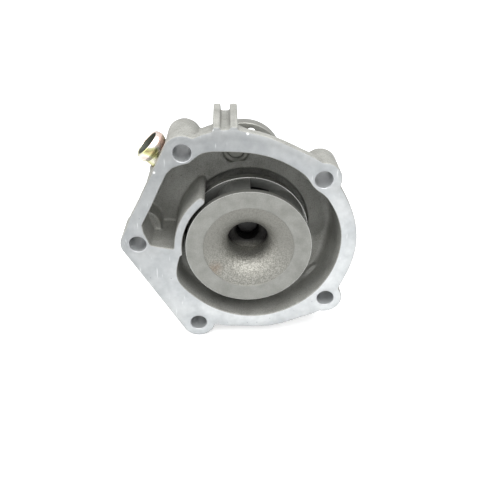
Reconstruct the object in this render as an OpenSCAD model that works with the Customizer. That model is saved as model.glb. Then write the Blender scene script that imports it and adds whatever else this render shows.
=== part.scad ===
// Engine water pump: a cast housing that bolts to the block, a closed impeller that faces the block,
// and a hub for the fan and pulley on the other end of the spindle.
// The origin is where the shaft line meets the mounting face. The face looks along -Y, depths grow
// along +Y towards the hub, +X is to the right in the front view and +Z is up.

/* [Impeller] */
// Diameter of the impeller
impeller_d = 65; // [56:0.5:72]
// Depth of the impeller's front face behind the mounting face
impeller_set_back = 0.4; // [0.3:0.1:2]
// Thickness of the front shroud at the rim
front_shroud_t = 3.3; // [2.5:0.1:5]
// Width of the outlets between the shrouds
outlet_w = 13.6; // [8:0.2:16]
// Thickness of the back shroud at the rim
back_shroud_t = 4.6; // [3:0.1:6]
// Diameter of the eye where it is narrowest
eye_d = 21.5; // [20:0.5:28]
// Diameter of the rough cast funnel where it meets the machined ring
funnel_d = 47; // [40:0.5:54]
// Depth of the funnel from the front face to the narrowest place
funnel_depth = 11.6; // [9:0.2:13]
// Step down from the machined ring to the funnel
funnel_step = 0.35; // [0.1:0.05:0.8]
// Number of vanes
vane_count = 6; // [5:1:7]
// Thickness of a vane
vane_t = 3.8; // [2.5:0.1:5]
// Angle that a vane sweeps back from the eye to the rim
vane_sweep = 72; // [50:2:90]
// Angle of one vane's outer end in the front view
vane_phase = 97.3; // [60:0.1:120]
// Diameter of the impeller's hub
impeller_hub_d = 22; // [20:0.5:25]
// Length of the hub behind the back shroud
impeller_hub_l = 14; // [11:0.25:15]
// Diameter of the spindle's nose that the impeller is pressed on
nose_d = 12.7; // [11:0.1:14]
// Length of that nose
nose_l = 9; // [7:0.25:11]
// Chamfer on the nose
nose_chamfer = 1; // [0.5:0.1:1.5]
// Inner edge of the flat outlet rim on the back shroud
outlet_floor_d = 53.8; // [48:0.2:56]
// Drop from the outlet rim to the floor of the passages
outlet_floor_drop = 2; // [1:0.25:2.5]

/* [Chamber] */
// Gap between the impeller and the tongue
tongue_gap = 1.9; // [1:0.1:3]
// Thickness of the tongue
tongue_t = 4; // [3:0.1:6]
// How much farther out than the tongue the chamber reaches
chamber_growth = 24; // [20:0.5:26]
// Depth of the chamber's floor behind the mounting face
chamber_depth = 28; // [27:0.5:34]
// Radius where the chamber's wall meets its floor
chamber_fillet = 3; // [1.5:0.25:4]
// Slope of the chamber's wall, in mm for each mm of depth
chamber_draft_share = 0.03; // [0.01:0.005:0.05]
// Clearance around the impeller in the round recess of the floor
recess_gap = 0.9; // [0.5:0.1:1.4]
// Depth of the round recess behind the mounting face
recess_depth = 30; // [29.5:0.5:36]
// Diameter of the pocket between the recess and the shaft seal
pocket_d = 38; // [37.5:0.5:40]
// Depth of that pocket
pocket_l = 12; // [12:0.25:14]
// Height of the sloped land around the recess
land_h = 2; // [1:0.25:3]
// Width of the sloped land around the recess
land_w = 9; // [4:0.5:10]

/* [Housing] */
// Thickness of the mounting flange
flange_t = 5; // [4:0.5:12]
// How far the flange's edge reaches beyond the impeller
flange_growth = 33; // [30:0.5:36]
// Thickness of the cast walls
wall_t = 4.5; // [3:0.25:6]
// Lean of the shell at the upper right, in mm for each mm of depth
shell_lean_share = 0.24; // [0:0.01:0.26]
// Lean of the chamber's wall there, in mm for each mm of depth
chamber_lean_share = 0.1; // [0:0.01:0.11]
// Depth where the back edge of the shell starts to round off
shell_shoulder = 20; // [14:0.5:24]
// Diameter of the snout around the bearing
snout_d = 42; // [38:0.5:48]
// Diameter of the snout where it meets the shell
snout_root_d = 66; // [54:1:76]
// Depth where the snout's root cone ends
snout_root_depth = 50; // [46:0.5:58]
// Number of ribs between shell and snout
rib_count = 4; // [3:1:6]
// Thickness of a rib
rib_t = 5; // [3:0.25:7]
// Depth where the ribs end
rib_depth = 76; // [60:1:90]

/* [Bolts] */
// Diameter of the bolt holes
bolt_hole_d = 9; // [8:0.1:10]
// How far the farthest bolt hole is beyond the impeller
bolt_growth = 29.4; // [28:0.2:31]
// Radius of a bolt lobe
lobe_r = 8.9; // [8:0.1:10]
// Depth of a bolt boss behind the mounting face
boss_depth = 20; // [14:0.5:26]
// Extra depth of the upper left boss
tall_boss_extra = 5.5; // [0:0.5:8]
// Metal left between a bolt hole and the chamber
bolt_land = 2.2; // [1.5:0.1:3]
// Diameter of the room for a bolt's head behind its boss
head_room_d = 16.4; // [15:0.1:17]

/* [Channel lug] */
// Width of the channel lug on top
lug_w = 11.9; // [10:0.1:14]
// Width of the groove in it
groove_w = 4.5; // [3:0.1:6]
// Depth of the groove
groove_h = 3.5; // [2:0.1:5]
// Length of the lug behind the mounting face
lug_l = 34; // [24:0.5:40]
// Height of the lug's top above the shaft line
lug_top = 66; // [64:0.5:68]
// Thickness of the metal under the groove
lug_floor_t = 4.5; // [3:0.25:6]
// Distance of the lug's middle to the left of the shaft line
lug_left = 11.3; // [8:0.1:14]

/* [Hose nipple] */
// Outer diameter of the tube
nipple_d = 14.6; // [12:0.1:16]
// Bore of the tube
nipple_bore_d = 12.8; // [10:0.1:13.2]
// Diameter of the rolled bead
bead_d = 16.6; // [15:0.1:19]
// Length of the rolled bead
bead_l = 5.6; // [3:0.1:7]
// Length of the tube outside the chamber's wall
nipple_out = 14.2; // [10:0.2:30]
// Length of the tube inside the chamber's wall
nipple_in = 1.2; // [0.5:0.1:3]
// Depth where the tube crosses the chamber's wall
nipple_depth = 16.3; // [14:0.1:17]
// Angle in the front view of the place where it crosses the wall
nipple_wall_angle = 133.2; // [130:0.2:137]
// Direction of the tube in the front view
nipple_turn = 135; // [125:0.5:145]
// Lean of the tube towards the mounting face
nipple_lean = 4; // [0:0.2:8]

/* [Core plug] */
// Diameter of the core plug
plug_d = 14; // [12:0.5:16]
// Diameter of the raised middle of the plug
plug_pad_d = 8.2; // [6:0.2:9]
// Depth of the ring around the plug's middle
plug_dish = 1.3; // [0.8:0.1:2]
// Length of the plug
plug_l = 4; // [3:0.25:5]
// How far the plug's middle is beyond the impeller
plug_growth = 10.9; // [10:0.1:12]
// Angle of the plug in the front view
plug_angle = 98; // [92:0.5:104]

/* [Spindle and bearing] */
// Diameter of the spindle
spindle_d = 16; // [15:0.1:17]
// Outer diameter of the bearing
bearing_d = 30; // [29.5:0.1:32]
// Inner diameter of the bearing's outer ring
bearing_bore_d = 26; // [25:0.1:26.5]
// Length of the bearing's outer ring
bearing_l = 42; // [38:0.5:50]
// Diameter of a ball
ball_d = 6; // [5.6:0.05:6.2]
// Balls in a row
ball_count = 8; // [6:1:8]
// Distance between the two rows of balls
row_pitch = 24; // [18:0.5:26]
// Clearance between a ball and its races
race_gap = 0.04; // [0.02:0.01:0.08]
// Thickness of a cage
cage_t = 2.6; // [2:0.1:3]
// Width of a cage
cage_w = 8.4; // [7.5:0.1:10]
// Clearance of a ball in its cage
pocket_gap = 0.15; // [0.1:0.01:0.25]
// Thickness of a bearing end seal
end_seal_t = 2; // [1.5:0.1:3]
// Clearance between a lip and the spindle
lip_gap = 0.06; // [0.03:0.01:0.1]
// Width of the snap ring behind the bearing
snap_ring_w = 1.2; // [1:0.1:1.6]
// How far the snap ring reaches into its groove
snap_ring_grip = 1; // [0.6:0.1:1.5]
// Radial width of the snap ring
snap_ring_t = 2.6; // [2:0.1:3.2]

/* [Shaft seal] */
// Diameter of the seal's bore in the housing
seal_bore_d = 32; // [31.5:0.1:33]
// Length of the seal's bore
seal_bore_l = 13; // [12:0.25:16]
// Thickness of the seal's case
case_t = 0.8; // [0.6:0.05:1.2]
// Radial width of the case's flange
case_flange_w = 2.4; // [1.5:0.1:3]
// Hole in the bottom of the case
case_hole_d = 20; // [19.5:0.1:21]
// Thickness of the ceramic seat
seat_t = 4; // [3:0.1:4.4]
// Outer diameter of the ceramic seat
seat_d = 29.6; // [28:0.1:30]
// Wall of the rubber cup around the seat's bore
seat_cup_t = 1.6; // [1.2:0.1:2]
// Thickness of the rubber behind the seat
seat_back_t = 0.8; // [0.5:0.05:1]
// Running gap between the seal faces
face_gap = 0.04; // [0.02:0.01:0.08]
// Outer diameter of the carbon ring
carbon_d = 28.4; // [27:0.1:28.8]
// Width of the running face
face_w = 1.8; // [1.2:0.1:2.4]
// Height of the running face above the carbon ring
face_h = 1.4; // [1:0.1:2]
// Thickness of the carbon ring behind its face
carbon_t = 2.8; // [2:0.1:3.5]
// Thickness of the rubber bellows
bellows_t = 1.3; // [1:0.05:1.5]
// Gap between the bellows and the spindle
bellows_gap = 1.5; // [1.2:0.1:1.8]
// Diameter of the spring wire
wire_d = 1.1; // [0.9:0.05:1.2]
// Turns of the spring
spring_turns = 3; // [2:0.25:3.5]
// Thickness of the ring that clamps the bellows on the carbon
ferrule_t = 0.5; // [0.4:0.05:0.6]
// Diameter of the slinger
slinger_d = 22.6; // [20:0.2:23]
// Thickness of the slinger
slinger_t = 2; // [1.5:0.1:2.5]
// Diameter of the weep chamber
weep_chamber_d = 25; // [24.5:0.1:25.5]
// Length of the weep chamber
weep_chamber_l = 6; // [5:0.25:8]
// Diameter of the weep hole
weep_hole_d = 4; // [3:0.25:5]

/* [Hub] */
// Diameter of the hub's flange
hub_d = 52; // [48:0.5:56]
// Thickness of the hub's flange
hub_t = 8.5; // [6:0.25:10]
// Diameter of the hub's boss
hub_boss_d = 29; // [26:0.5:32]
// Length of the boss in front of the flange
hub_boss_l = 7.6; // [6:0.2:11]
// Diameter of the pilot that centres the fan
pilot_d = 22; // [20:0.5:25]
// Height of the pilot
pilot_h = 3; // [2:0.25:5]
// Tapping diameter of the holes in the hub
hub_hole_d = 6.8; // [6:0.1:7]
// Circle that the hub's holes lie on
hub_circle_d = 39; // [37:0.5:41]
// Number of holes in the hub
hub_holes = 4; // [3:1:6]
// Angle of the first hole above the horizontal
hub_phase = 75.5; // [0:0.5:90]
// Gap between the housing's end and the hub's boss
hub_gap = 2; // [1:0.25:4]

/* [Hidden] */
$fn = 96;

// One overrun for every cut that starts or ends in the open
overrun = 1;
// Chamfer on machined edges
edge = 0.4;
turn = 360;

impeller_r = impeller_d / 2;
impeller_back = impeller_set_back + front_shroud_t + outlet_w + back_shroud_t;
outlet_floor = impeller_set_back + front_shroud_t + outlet_w;
tongue_r = impeller_r + tongue_gap;
recess_r = impeller_r + recess_gap;
shell_back = recess_depth + wall_t;
seal_floor = recess_depth + pocket_l;
seal_bore_end = seal_floor + seal_bore_l;
bearing_start = seal_bore_end + weep_chamber_l;
bearing_end = bearing_start + bearing_l;
snout_end = bearing_end + 2 * snap_ring_w;
hub_start = snout_end + hub_gap;
hub_face = hub_start + hub_boss_l + hub_t;
spindle_r = spindle_d / 2;
nose_r = nose_d / 2;
impeller_end = impeller_back + impeller_hub_l;
ball_pitch_r = (spindle_r + bearing_bore_d / 2) / 2;
first_row = bearing_start + (bearing_l - row_pitch) / 2;
second_row = first_row + row_pitch;

// Bolt holes: angle in the front view, and how far out as a share of bolt_growth
bolt_shares = [[120.9, 1], [47, 0.70], [176.5, 0.827], [240.1, 0.759], [-37.3, 0.677]];
TALL_BOSS = 0;
LEFT_BOSS = 2;
LOW_BOSS = 3;
bolt_places = [for (b = bolt_shares) (impeller_r + bolt_growth * b[1]) * [cos(b[0]), sin(b[0])]];

// Wall of the chamber from the foot of the tongue round to the ledge beside it:
// angle, and how far beyond the tongue as a share of chamber_growth
chamber_shares = [[181, 0], [189, 0.085], [197, 0.2], [206, 0.31], [216, 0.31], [226, 0.295],
    [245, 0.312], [275, 0.375], [300, 0.405], [335, 0.467], [357, 0.52], [374, 0.562], [397, 0.575],
    [422, 0.65], [438, 0.725], [455, 0.8], [464, 0.875], [470, 0.945], [476, 1.06], [482.5, 1.2],
    [488, 1.083], [494.6, 0.967], [504, 0.871], [513, 0.829], [520, 0.854], [526.6, 0.9], [537, 0.98]];
// Depth of the chamber's floor: angle, and share of chamber_depth
floor_shares = [[181, 0.62], [245, 0.63], [300, 0.66], [323, 0.715], [339, 0.88], [352, 1],
    [370, 1], [537, 1]];
// Edge of the flange between the bolt lobes: angle, and share of flange_growth beyond the impeller
flange_shares = [[-94, 0.55], [-75, 0.59], [-58, 0.63], [-46, 0.72], [-37, 0.72], [-25, 0.66],
    [-13, 0.667], [3, 0.695], [18, 0.706], [30, 0.715], [40, 0.74], [52, 0.81], [65, 0.804],
    [75, 0.836], [85, 0.9], [91, 0.94], [97, 0.995], [105, 1.018], [113, 1.02], [124, 0.97],
    [136, 0.93], [153, 0.87], [170, 0.93], [182, 0.88], [205, 0.6], [230, 0.6], [250, 0.6]];

// Row of a table of [angle, share] rows; a row past either end repeats the end
function held_row(t, i) = t[max(0, min(len(t) - 1, i))];
// Row of a table that goes right round
function ring_row(t, i) =
    let (n = len(t), k = floor(i / n)) [t[i - k * n][0] + turn * k, t[i - k * n][1]];
function table_row(t, i, closed) = closed ? ring_row(t, i) : held_row(t, i);
function span_of(t, a, closed, i = 0) =
    (a < table_row(t, i + 1, closed)[0] || (!closed && i >= len(t) - 2)) ? i
    : span_of(t, a, closed, i + 1);
function slope(p, q) = q[0] == p[0] ? 0 : (q[1] - p[1]) / (q[0] - p[0]);
// Share at any angle, on one smooth curve through the rows
function share_at(t, angle, closed = false) =
    let (
        a = closed && angle < t[0][0] ? angle + turn : angle,
        i = span_of(t, a, closed),
        p = table_row(t, i, closed),
        q = table_row(t, i + 1, closed),
        w = q[0] - p[0],
        s = (a - p[0]) / w,
        m = slope(table_row(t, i - 1, closed), q) * w,
        n = slope(p, table_row(t, i + 2, closed)) * w
    )
    p[1] * (1 + 2 * s) * (1 - s) * (1 - s) + m * s * (1 - s) * (1 - s)
    + q[1] * s * s * (3 - 2 * s) + n * s * s * (s - 1);

// Where a ray from the shaft line meets the metal around a bolt hole, or beyond it
function lobe_hit(i, a) =
    let (
        d = norm(bolt_places[i]),
        off = a - bolt_shares[i][0],
        side = d * sin(off),
        r = bolt_hole_d / 2 + bolt_land
    )
    cos(off) > 0 && abs(side) < r ? d * cos(off) - sqrt(r * r - side * side)
    : impeller_r + 2 * flange_growth;
function bare_chamber_r(a) = min(concat(
    [tongue_r + chamber_growth * share_at(chamber_shares, a)],
    [for (i = [0 : len(bolt_shares) - 1]) lobe_hit(i, a)]));
// The wall is smoothed over a few degrees, which rounds the feet of the bolt lobes
chamber_first = 181;
chamber_last = 537;
chamber_step = 4;
smoothing = [-4.5, -3, -1.5, 0, 1.5, 3, 4.5];
function mean(v) = v * [for (x = v) 1] / len(v);
function chamber_r(a) = mean([for (s = smoothing)
    bare_chamber_r(max(chamber_first, min(chamber_last, a + s)))]);
chamber_angles = [for (a = [chamber_first : chamber_step : chamber_last]) a];
function floor_depth(a) = chamber_depth * share_at(floor_shares, a);
// How much of its lean the shell has at an angle: all of it at the upper right, none farther round
lean_middle = 63;
lean_reach = 34;
function lean_at(a) =
    let (off = ((a - lean_middle + turn / 2) % turn - turn / 2) / lean_reach) max(0, 1 - off * off);

// Point of the front view at an angle, a radius and a depth
function polar(a, r, depth) = [r * cos(a), depth, r * sin(a)];
// Closed skin over rings that have the same number of points, with a flat fan on both ends
function skin_faces(rings, n) = concat(
    [for (j = [0 : rings - 2], i = [0 : n - 1]) let (k = (i + 1) % n)
        [j * n + i, j * n + k, (j + 1) * n + k]],
    [for (j = [0 : rings - 2], i = [0 : n - 1]) let (k = (i + 1) % n)
        [j * n + i, (j + 1) * n + k, (j + 1) * n + i]],
    [for (i = [0 : n - 1]) [rings * n, (i + 1) % n, i]],
    [for (i = [0 : n - 1]) [rings * n + 1, (rings - 1) * n + i, (rings - 1) * n + (i + 1) % n]]);
module skin(rings, front, back) {
    n = len(rings[0]);
    points = concat([for (r = rings, p = r) p], [[0, front, 0], [0, back, 0]]);
    polyhedron(points, skin_faces(len(rings), n), convexity = 6);
}

// Extrudes a shape of the front view between two depths
module slab(from, to) {
    rotate([90, 0, 0]) translate([0, 0, -to]) linear_extrude(to - from) children();
}
// Turns a profile of [radius, depth] about the shaft line
module turned() {
    rotate([-90, 0, 0]) rotate_extrude() children();
}
module bar(r, from, to) {
    rotate([-90, 0, 0]) translate([0, 0, from]) cylinder(r = r, h = to - from);
}
module cone(r_from, r_to, from, to) {
    rotate([-90, 0, 0]) translate([0, 0, from]) cylinder(r1 = r_from, r2 = r_to, h = to - from);
}
module ring(inner, outer, from, to) {
    difference() {
        bar(outer, from, to);
        bar(inner, from - overrun, to + overrun);
    }
}
module at(place) {
    translate([place[0], 0, place[1]]) children();
}

module flange_edge() {
    polygon([for (a = [-94 : 4 : 262])
        (impeller_r + flange_growth * share_at(flange_shares, a, true)) * [cos(a), sin(a)]]);
}
// Straight edge between two bolt lobes, drawn in a little so that it cuts into their round ends
module lobe_band(p, q) {
    u = (q - p) / norm(q - p) * (lobe_r - edge / 4);
    n = [-u[1], u[0]];
    polygon([p + n, p - n, q - n, q + n]);
}
module flange() {
    slab(0, flange_t) {
        flange_edge();
        lobe_band(bolt_places[TALL_BOSS], bolt_places[LEFT_BOSS]);
        lobe_band(bolt_places[LEFT_BOSS], bolt_places[LOW_BOSS]);
    }
}
// Round lobe about a bolt hole, with a little draft
module lobe(i, ahead = 0) {
    at(bolt_places[i]) {
        cone(lobe_r, lobe_r - edge, 0, boss_end(i));
        if (ahead > 0) bar(lobe_r, -ahead, 0);
    }
}

// Shell around the chamber, with its back edge rounded off
shell_reach = [-8, -4, 0, 4, 8];
function shell_r(a) = wall_t + max([for (s = shell_reach)
    let (b = a + s, c = b < chamber_first ? b + turn : b > chamber_last ? b - turn : b)
    chamber_r(c < chamber_first ? chamber_first : c)]);
// Steps of the rounding: share of the rounding's depth, and what is left of its radius
round_shares = [[0, 1], [0.38, 0.92], [0.71, 0.71], [0.92, 0.38], [1, 0]];
module shell() {
    round_h = shell_back - shell_shoulder;
    skin(concat(
        [[for (a = chamber_angles) polar(a, shell_r(a), flange_t / 2)]],
        [for (s = round_shares) [for (a = chamber_angles)
            let (
                down = shell_shoulder + round_h * s[0],
                lean = shell_lean_share * lean_at(a) * (down - flange_t / 2)
            )
            polar(a, shell_r(a) - lean - round_h * (1 - s[1]), down)]]),
        flange_t / 2, shell_back);
}

// Steps of the fillet at the chamber's floor: share of the fillet still to go, inwards and down
fillet_shares = [[0, 1], [0.08, 0.62], [0.29, 0.29], [0.62, 0.08], [1, 0]];
module chamber() {
    skin(concat(
        [[for (a = chamber_angles) polar(a, chamber_r(a), -overrun)]],
        [for (s = fillet_shares) [for (a = chamber_angles)
            let (
                down = floor_depth(a) - chamber_fillet * s[1],
                lean = (chamber_draft_share + chamber_lean_share * lean_at(a)) * down
            )
            polar(a, chamber_r(a) - lean - chamber_fillet * s[0], down)]],
        [[for (a = chamber_angles) polar(a, tongue_r - chamber_fillet - tongue_gap, floor_depth(a))]]),
        -overrun, chamber_depth);
}
// The wall between the spiral and the outlet pocket, round about the impeller
tongue_first = 131;
tongue_last = 186;
module tongue() {
    tip_r = tongue_t / 2;
    slab(0, chamber_depth + overrun) {
        intersection() {
            difference() {
                circle(tongue_r + tongue_t);
                circle(tongue_r);
            }
            polygon([[0, 0], for (a = [tongue_first, (tongue_first + tongue_last) / 2, tongue_last])
                2 * tongue_r * [cos(a), sin(a)]]);
        }
        translate((tongue_r + tip_r) * [cos(tongue_first), sin(tongue_first)]) circle(tip_r);
    }
}
// Sloped land around the recess
module floor_land() {
    turned() polygon([
        [recess_r, chamber_depth - land_h],
        [recess_r + land_w, chamber_depth],
        [recess_r + land_w, recess_depth],
        [recess_r, recess_depth]]);
}

module snout() {
    root_r = snout_root_d / 2;
    turned() polygon([
        [0, chamber_depth + overrun],
        [root_r, chamber_depth + overrun],
        [root_r, shell_back - overrun],
        [snout_d / 2 + rib_t / 2, snout_root_depth - rib_t],
        [snout_d / 2, snout_root_depth],
        [snout_d / 2, snout_end - edge],
        [snout_d / 2 - edge, snout_end],
        [0, snout_end]]);
}
rib_phase = 45;
rib_angles = [for (i = [0 : rib_count - 1]) rib_phase + i * turn / rib_count];
module ribs() {
    for (a = rib_angles) rotate([0, -a, 0]) translate([0, 0, -rib_t / 2]) linear_extrude(rib_t)
        polygon([
            [spindle_r + wall_t + rib_t, chamber_depth + overrun],
            [impeller_r + wall_t, chamber_depth + overrun],
            [impeller_r + wall_t, shell_back],
            [snout_d / 2 + overrun, rib_depth],
            [spindle_r + wall_t + rib_t, rib_depth]]);
}
module lug() {
    floor_top = lug_top - groove_h;
    translate([-lug_left, 0, 0]) difference() {
        union() {
            translate([-lug_w / 2, 0, floor_top - lug_floor_t])
                cube([lug_w, lug_l, lug_floor_t + groove_h]);
            rotate([90, 0, -90]) translate([0, 0, -groove_w / 2 - edge])
                linear_extrude(groove_w + 2 * edge) polygon([
                    [-flange_t / 2, impeller_r],
                    [-flange_t / 2, floor_top - edge],
                    [-lug_l, floor_top - edge],
                    [-lug_l, floor_top - lug_floor_t],
                    [-snout_root_depth, snout_d / 2 - edge],
                    [-chamber_depth - overrun, snout_d / 2 - edge]]);
        }
        translate([-groove_w / 2, -overrun, floor_top])
            cube([groove_w, lug_l + 2 * overrun, groove_h + overrun]);
    }
}

// Places a child on the nipple's line, with +Z outwards and the origin where it crosses the wall
nipple_wall_r = chamber_r(nipple_wall_angle + turn);
module on_nipple() {
    translate(polar(nipple_wall_angle, nipple_wall_r, nipple_depth))
        rotate([0, -nipple_turn, 0]) rotate([0, 0, -nipple_lean]) rotate([0, 90, 0]) children();
}
plug_place = (impeller_r + plug_growth) * [cos(plug_angle), sin(plug_angle)];
plug_bore_end = max(shell_back, chamber_depth + plug_l) + overrun;

// Columns behind the bolt bosses, wide enough for a bolt's head and some metal round it
function boss_end(i) = boss_depth + (i == TALL_BOSS ? tall_boss_extra : 0);
module head_columns(r, ahead) {
    for (i = [0 : len(bolt_places) - 1]) at(bolt_places[i])
        bar(r, boss_end(i) - ahead, shell_back + overrun);
}

// Bore that the nipple is pressed into
module nipple_bore() {
    on_nipple() translate([0, 0, -nipple_in - wall_t])
        cylinder(d = nipple_d, h = nipple_in + wall_t + nipple_out);
}
// The chamber's hollow, less the metal round the room for the bolts' heads
module chamber_cut() {
    difference() {
        chamber();
        head_columns(head_room_d / 2 + bolt_land, bolt_land);
    }
}
// The five lobes are part of the same casting. They are a node of their own so that collision
// follows both their bolt holes and the chamber.
module bolt_lobes() {
    color("#b4b6b4") for (i = [0 : len(bolt_places) - 1]) difference() {
        lobe(i);
        chamber_cut();
        nipple_bore();
        at(bolt_places[i]) bar(bolt_hole_d / 2, -overrun, boss_end(i) + overrun);
    }
}

module pump_housing() {
    color("#b4b6b4") difference() {
        union() {
            difference() {
                union() {
                    flange();
                    shell();
                    snout();
                    ribs();
                    lug();
                    on_nipple() cylinder(r = nipple_d / 2 + wall_t / 2, h = wall_t);
                }
                chamber_cut();
            }
            tongue();
            floor_land();
        }
        head_columns(head_room_d / 2, 0);
        for (i = [0 : len(bolt_places) - 1]) lobe(i, overrun);
        bar(recess_r, -overrun, recess_depth);
        bar(pocket_d / 2, recess_depth - overrun, seal_floor);
        bar(seal_bore_d / 2, seal_floor - overrun, seal_bore_end);
        bar(weep_chamber_d / 2, seal_bore_end - overrun, bearing_start + overrun);
        bar(bearing_d / 2, bearing_start, snout_end + overrun);
        bar(bearing_d / 2 + snap_ring_grip, bearing_end, bearing_end + snap_ring_w);
        translate([0, seal_bore_end + weep_chamber_l / 2, -snout_root_d / 2])
            cylinder(d = weep_hole_d, h = snout_root_d / 2);
        at(plug_place) bar(plug_d / 2, chamber_depth - overrun, plug_bore_end);
        nipple_bore();
    }
}

// Pressed plug with a raised middle
module core_plug() {
    color("#8f8f8a") at(plug_place) turned() polygon([
        [0, chamber_depth],
        [plug_pad_d / 2, chamber_depth],
        [plug_pad_d / 2 + plug_dish / 2, chamber_depth + plug_dish],
        [plug_d / 2 - plug_dish / 2, chamber_depth + plug_dish],
        [plug_d / 2, chamber_depth + plug_dish / 2],
        [plug_d / 2, chamber_depth + plug_l],
        [0, chamber_depth + plug_l]]);
}

// Tube with a rolled bead at its open end
module hose_nipple() {
    bead_from = nipple_out - bead_l;
    bump = (bead_d - nipple_d) / 2;
    color("#d8c9a0") on_nipple() rotate_extrude() polygon(concat(
        [[nipple_bore_d / 2, -nipple_in], [nipple_d / 2, -nipple_in], [nipple_d / 2, bead_from]],
        [for (i = [1 : 7]) [nipple_d / 2 + bump * sin(i * 22.5), bead_from + bead_l * i / 8]],
        [[nipple_d / 2, nipple_out], [nipple_bore_d / 2, nipple_out]]));
}

// Bell-mouthed funnel into the eye, from the machined ring inwards
function funnel_point(a) = [
    funnel_d / 2 - (funnel_d - eye_d) / 2 * sin(a),
    impeller_set_back + funnel_depth - (funnel_depth - funnel_step) * cos(a)];
module front_shroud() {
    rim_back = impeller_set_back + front_shroud_t;
    turned() polygon(concat(
        [for (i = [0 : 9]) funnel_point(i * 10)],
        [[eye_d / 2, impeller_set_back + funnel_depth + edge],
        [eye_d / 2 + front_shroud_t / 2, impeller_set_back + funnel_depth + front_shroud_t / 2],
        [(eye_d + funnel_d) / 4 + front_shroud_t, impeller_set_back + funnel_depth / 2 + front_shroud_t / 2],
        [outlet_floor_d / 2, rim_back],
        [impeller_r, rim_back],
        [impeller_r, impeller_set_back + edge],
        [impeller_r - edge, impeller_set_back],
        [funnel_d / 2, impeller_set_back]]));
}
module back_shroud() {
    passage_floor = outlet_floor + outlet_floor_drop;
    hub_r = impeller_hub_d / 2;
    turned() polygon([
        [nose_r, passage_floor + nose_chamfer],
        [nose_r + nose_chamfer, passage_floor],
        [outlet_floor_d / 2, passage_floor],
        [outlet_floor_d / 2, outlet_floor],
        [impeller_r - edge, outlet_floor],
        [impeller_r, outlet_floor + edge],
        [impeller_r, impeller_back - edge],
        [impeller_r - edge, impeller_back],
        [hub_r, impeller_back],
        [hub_r, impeller_end - edge],
        [hub_r - edge, impeller_end],
        [nose_r, impeller_end]]);
}
// Vanes lean back as they go out, and the rim cuts them at a shallow angle
function vane_angle(r) =
    let (s = max(0, (r - eye_d / 2) / (impeller_r - eye_d / 2))) vane_sweep * (1 - pow(s, 1.3));
function vane_line(side) = [for (i = [0 : 8])
    let (
        r = eye_d / 2 + (impeller_r + overrun - eye_d / 2) * i / 8,
        a = vane_phase + vane_angle(min(r, impeller_r)),
        b = vane_phase + vane_angle(min(r, impeller_r) - edge),
        u = edge * [cos(a), sin(a)],
        run = r * [cos(a), sin(a)] - (r * [cos(b), sin(b)] - u),
        n = [-run[1], run[0]] / norm(run)
    )
    r * [cos(a), sin(a)] + side * vane_t / 2 * n];
module vanes() {
    intersection() {
        bar(impeller_r, impeller_set_back + edge, impeller_back - edge);
        slab(impeller_set_back + front_shroud_t / 2, outlet_floor + outlet_floor_drop + edge)
            for (i = [0 : vane_count - 1]) rotate(i * turn / vane_count) {
                far_side = vane_line(-1);
                polygon(concat(vane_line(1), [for (k = [8 : -1 : 0]) far_side[k]]));
            }
    }
}
module impeller() {
    eye_end = impeller_set_back + funnel_depth + front_shroud_t;
    color("#8a8a84") {
        front_shroud();
        back_shroud();
        difference() {
            vanes();
            turned() polygon(concat(
                [[0, 0]],
                [for (i = [0 : 9]) funnel_point(i * 10)],
                [[eye_d / 2, eye_end], [0, eye_end]]));
        }
    }
}

// Groove that a row of balls runs in
module race(depth) {
    turned() translate([ball_pitch_r, depth]) circle(ball_d / 2 + race_gap);
}
module spindle() {
    from = impeller_end - nose_l;
    to = hub_face + pilot_h - edge;
    color("#c9cbcd") difference() {
        turned() polygon([
            [0, from], [nose_r - nose_chamfer, from], [nose_r, from + nose_chamfer],
            [nose_r, impeller_end], [spindle_r, impeller_end],
            [spindle_r, to - edge], [spindle_r - edge, to], [0, to]]);
        race(first_row);
        race(second_row);
    }
}
module bearing_ring() {
    color("#d0d2d4") difference() {
        ring(bearing_bore_d / 2, bearing_d / 2, bearing_start, bearing_end);
        race(first_row);
        race(second_row);
    }
}
module balls(depth) {
    for (i = [0 : ball_count - 1]) rotate([0, i * turn / ball_count, 0])
        translate([ball_pitch_r, depth, 0]) sphere(d = ball_d);
}
module cage(depth) {
    difference() {
        ring(ball_pitch_r - cage_t / 2, ball_pitch_r + cage_t / 2, depth - cage_w / 2, depth + cage_w / 2);
        for (i = [0 : ball_count - 1]) rotate([0, i * turn / ball_count, 0])
            translate([0, depth, 0]) rotate([0, 90, 0])
                cylinder(d = ball_d + 2 * pocket_gap, h = bearing_d);
    }
}
module end_seal(from) {
    ring(spindle_r + lip_gap, bearing_bore_d / 2, from, from + end_seal_t);
}
module front_balls() color("#dfe1e3") balls(first_row);
module rear_balls() color("#dfe1e3") balls(second_row);
module front_cage() color("#d9cfae") cage(first_row);
module rear_cage() color("#d9cfae") cage(second_row);
module front_bearing_seal() color("#2a2a2c") end_seal(bearing_start);
module rear_bearing_seal() color("#2a2a2c") end_seal(bearing_end - end_seal_t);
// Open ring with a gap at the bottom
module snap_ring() {
    outer = bearing_d / 2 + snap_ring_grip;
    color("#5a5c60") difference() {
        ring(outer - snap_ring_t, outer, bearing_end, bearing_end + snap_ring_w);
        translate([-snap_ring_t, bearing_end - overrun, -outer - overrun])
            cube([2 * snap_ring_t, snap_ring_w + 2 * overrun, outer]);
    }
}

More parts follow.
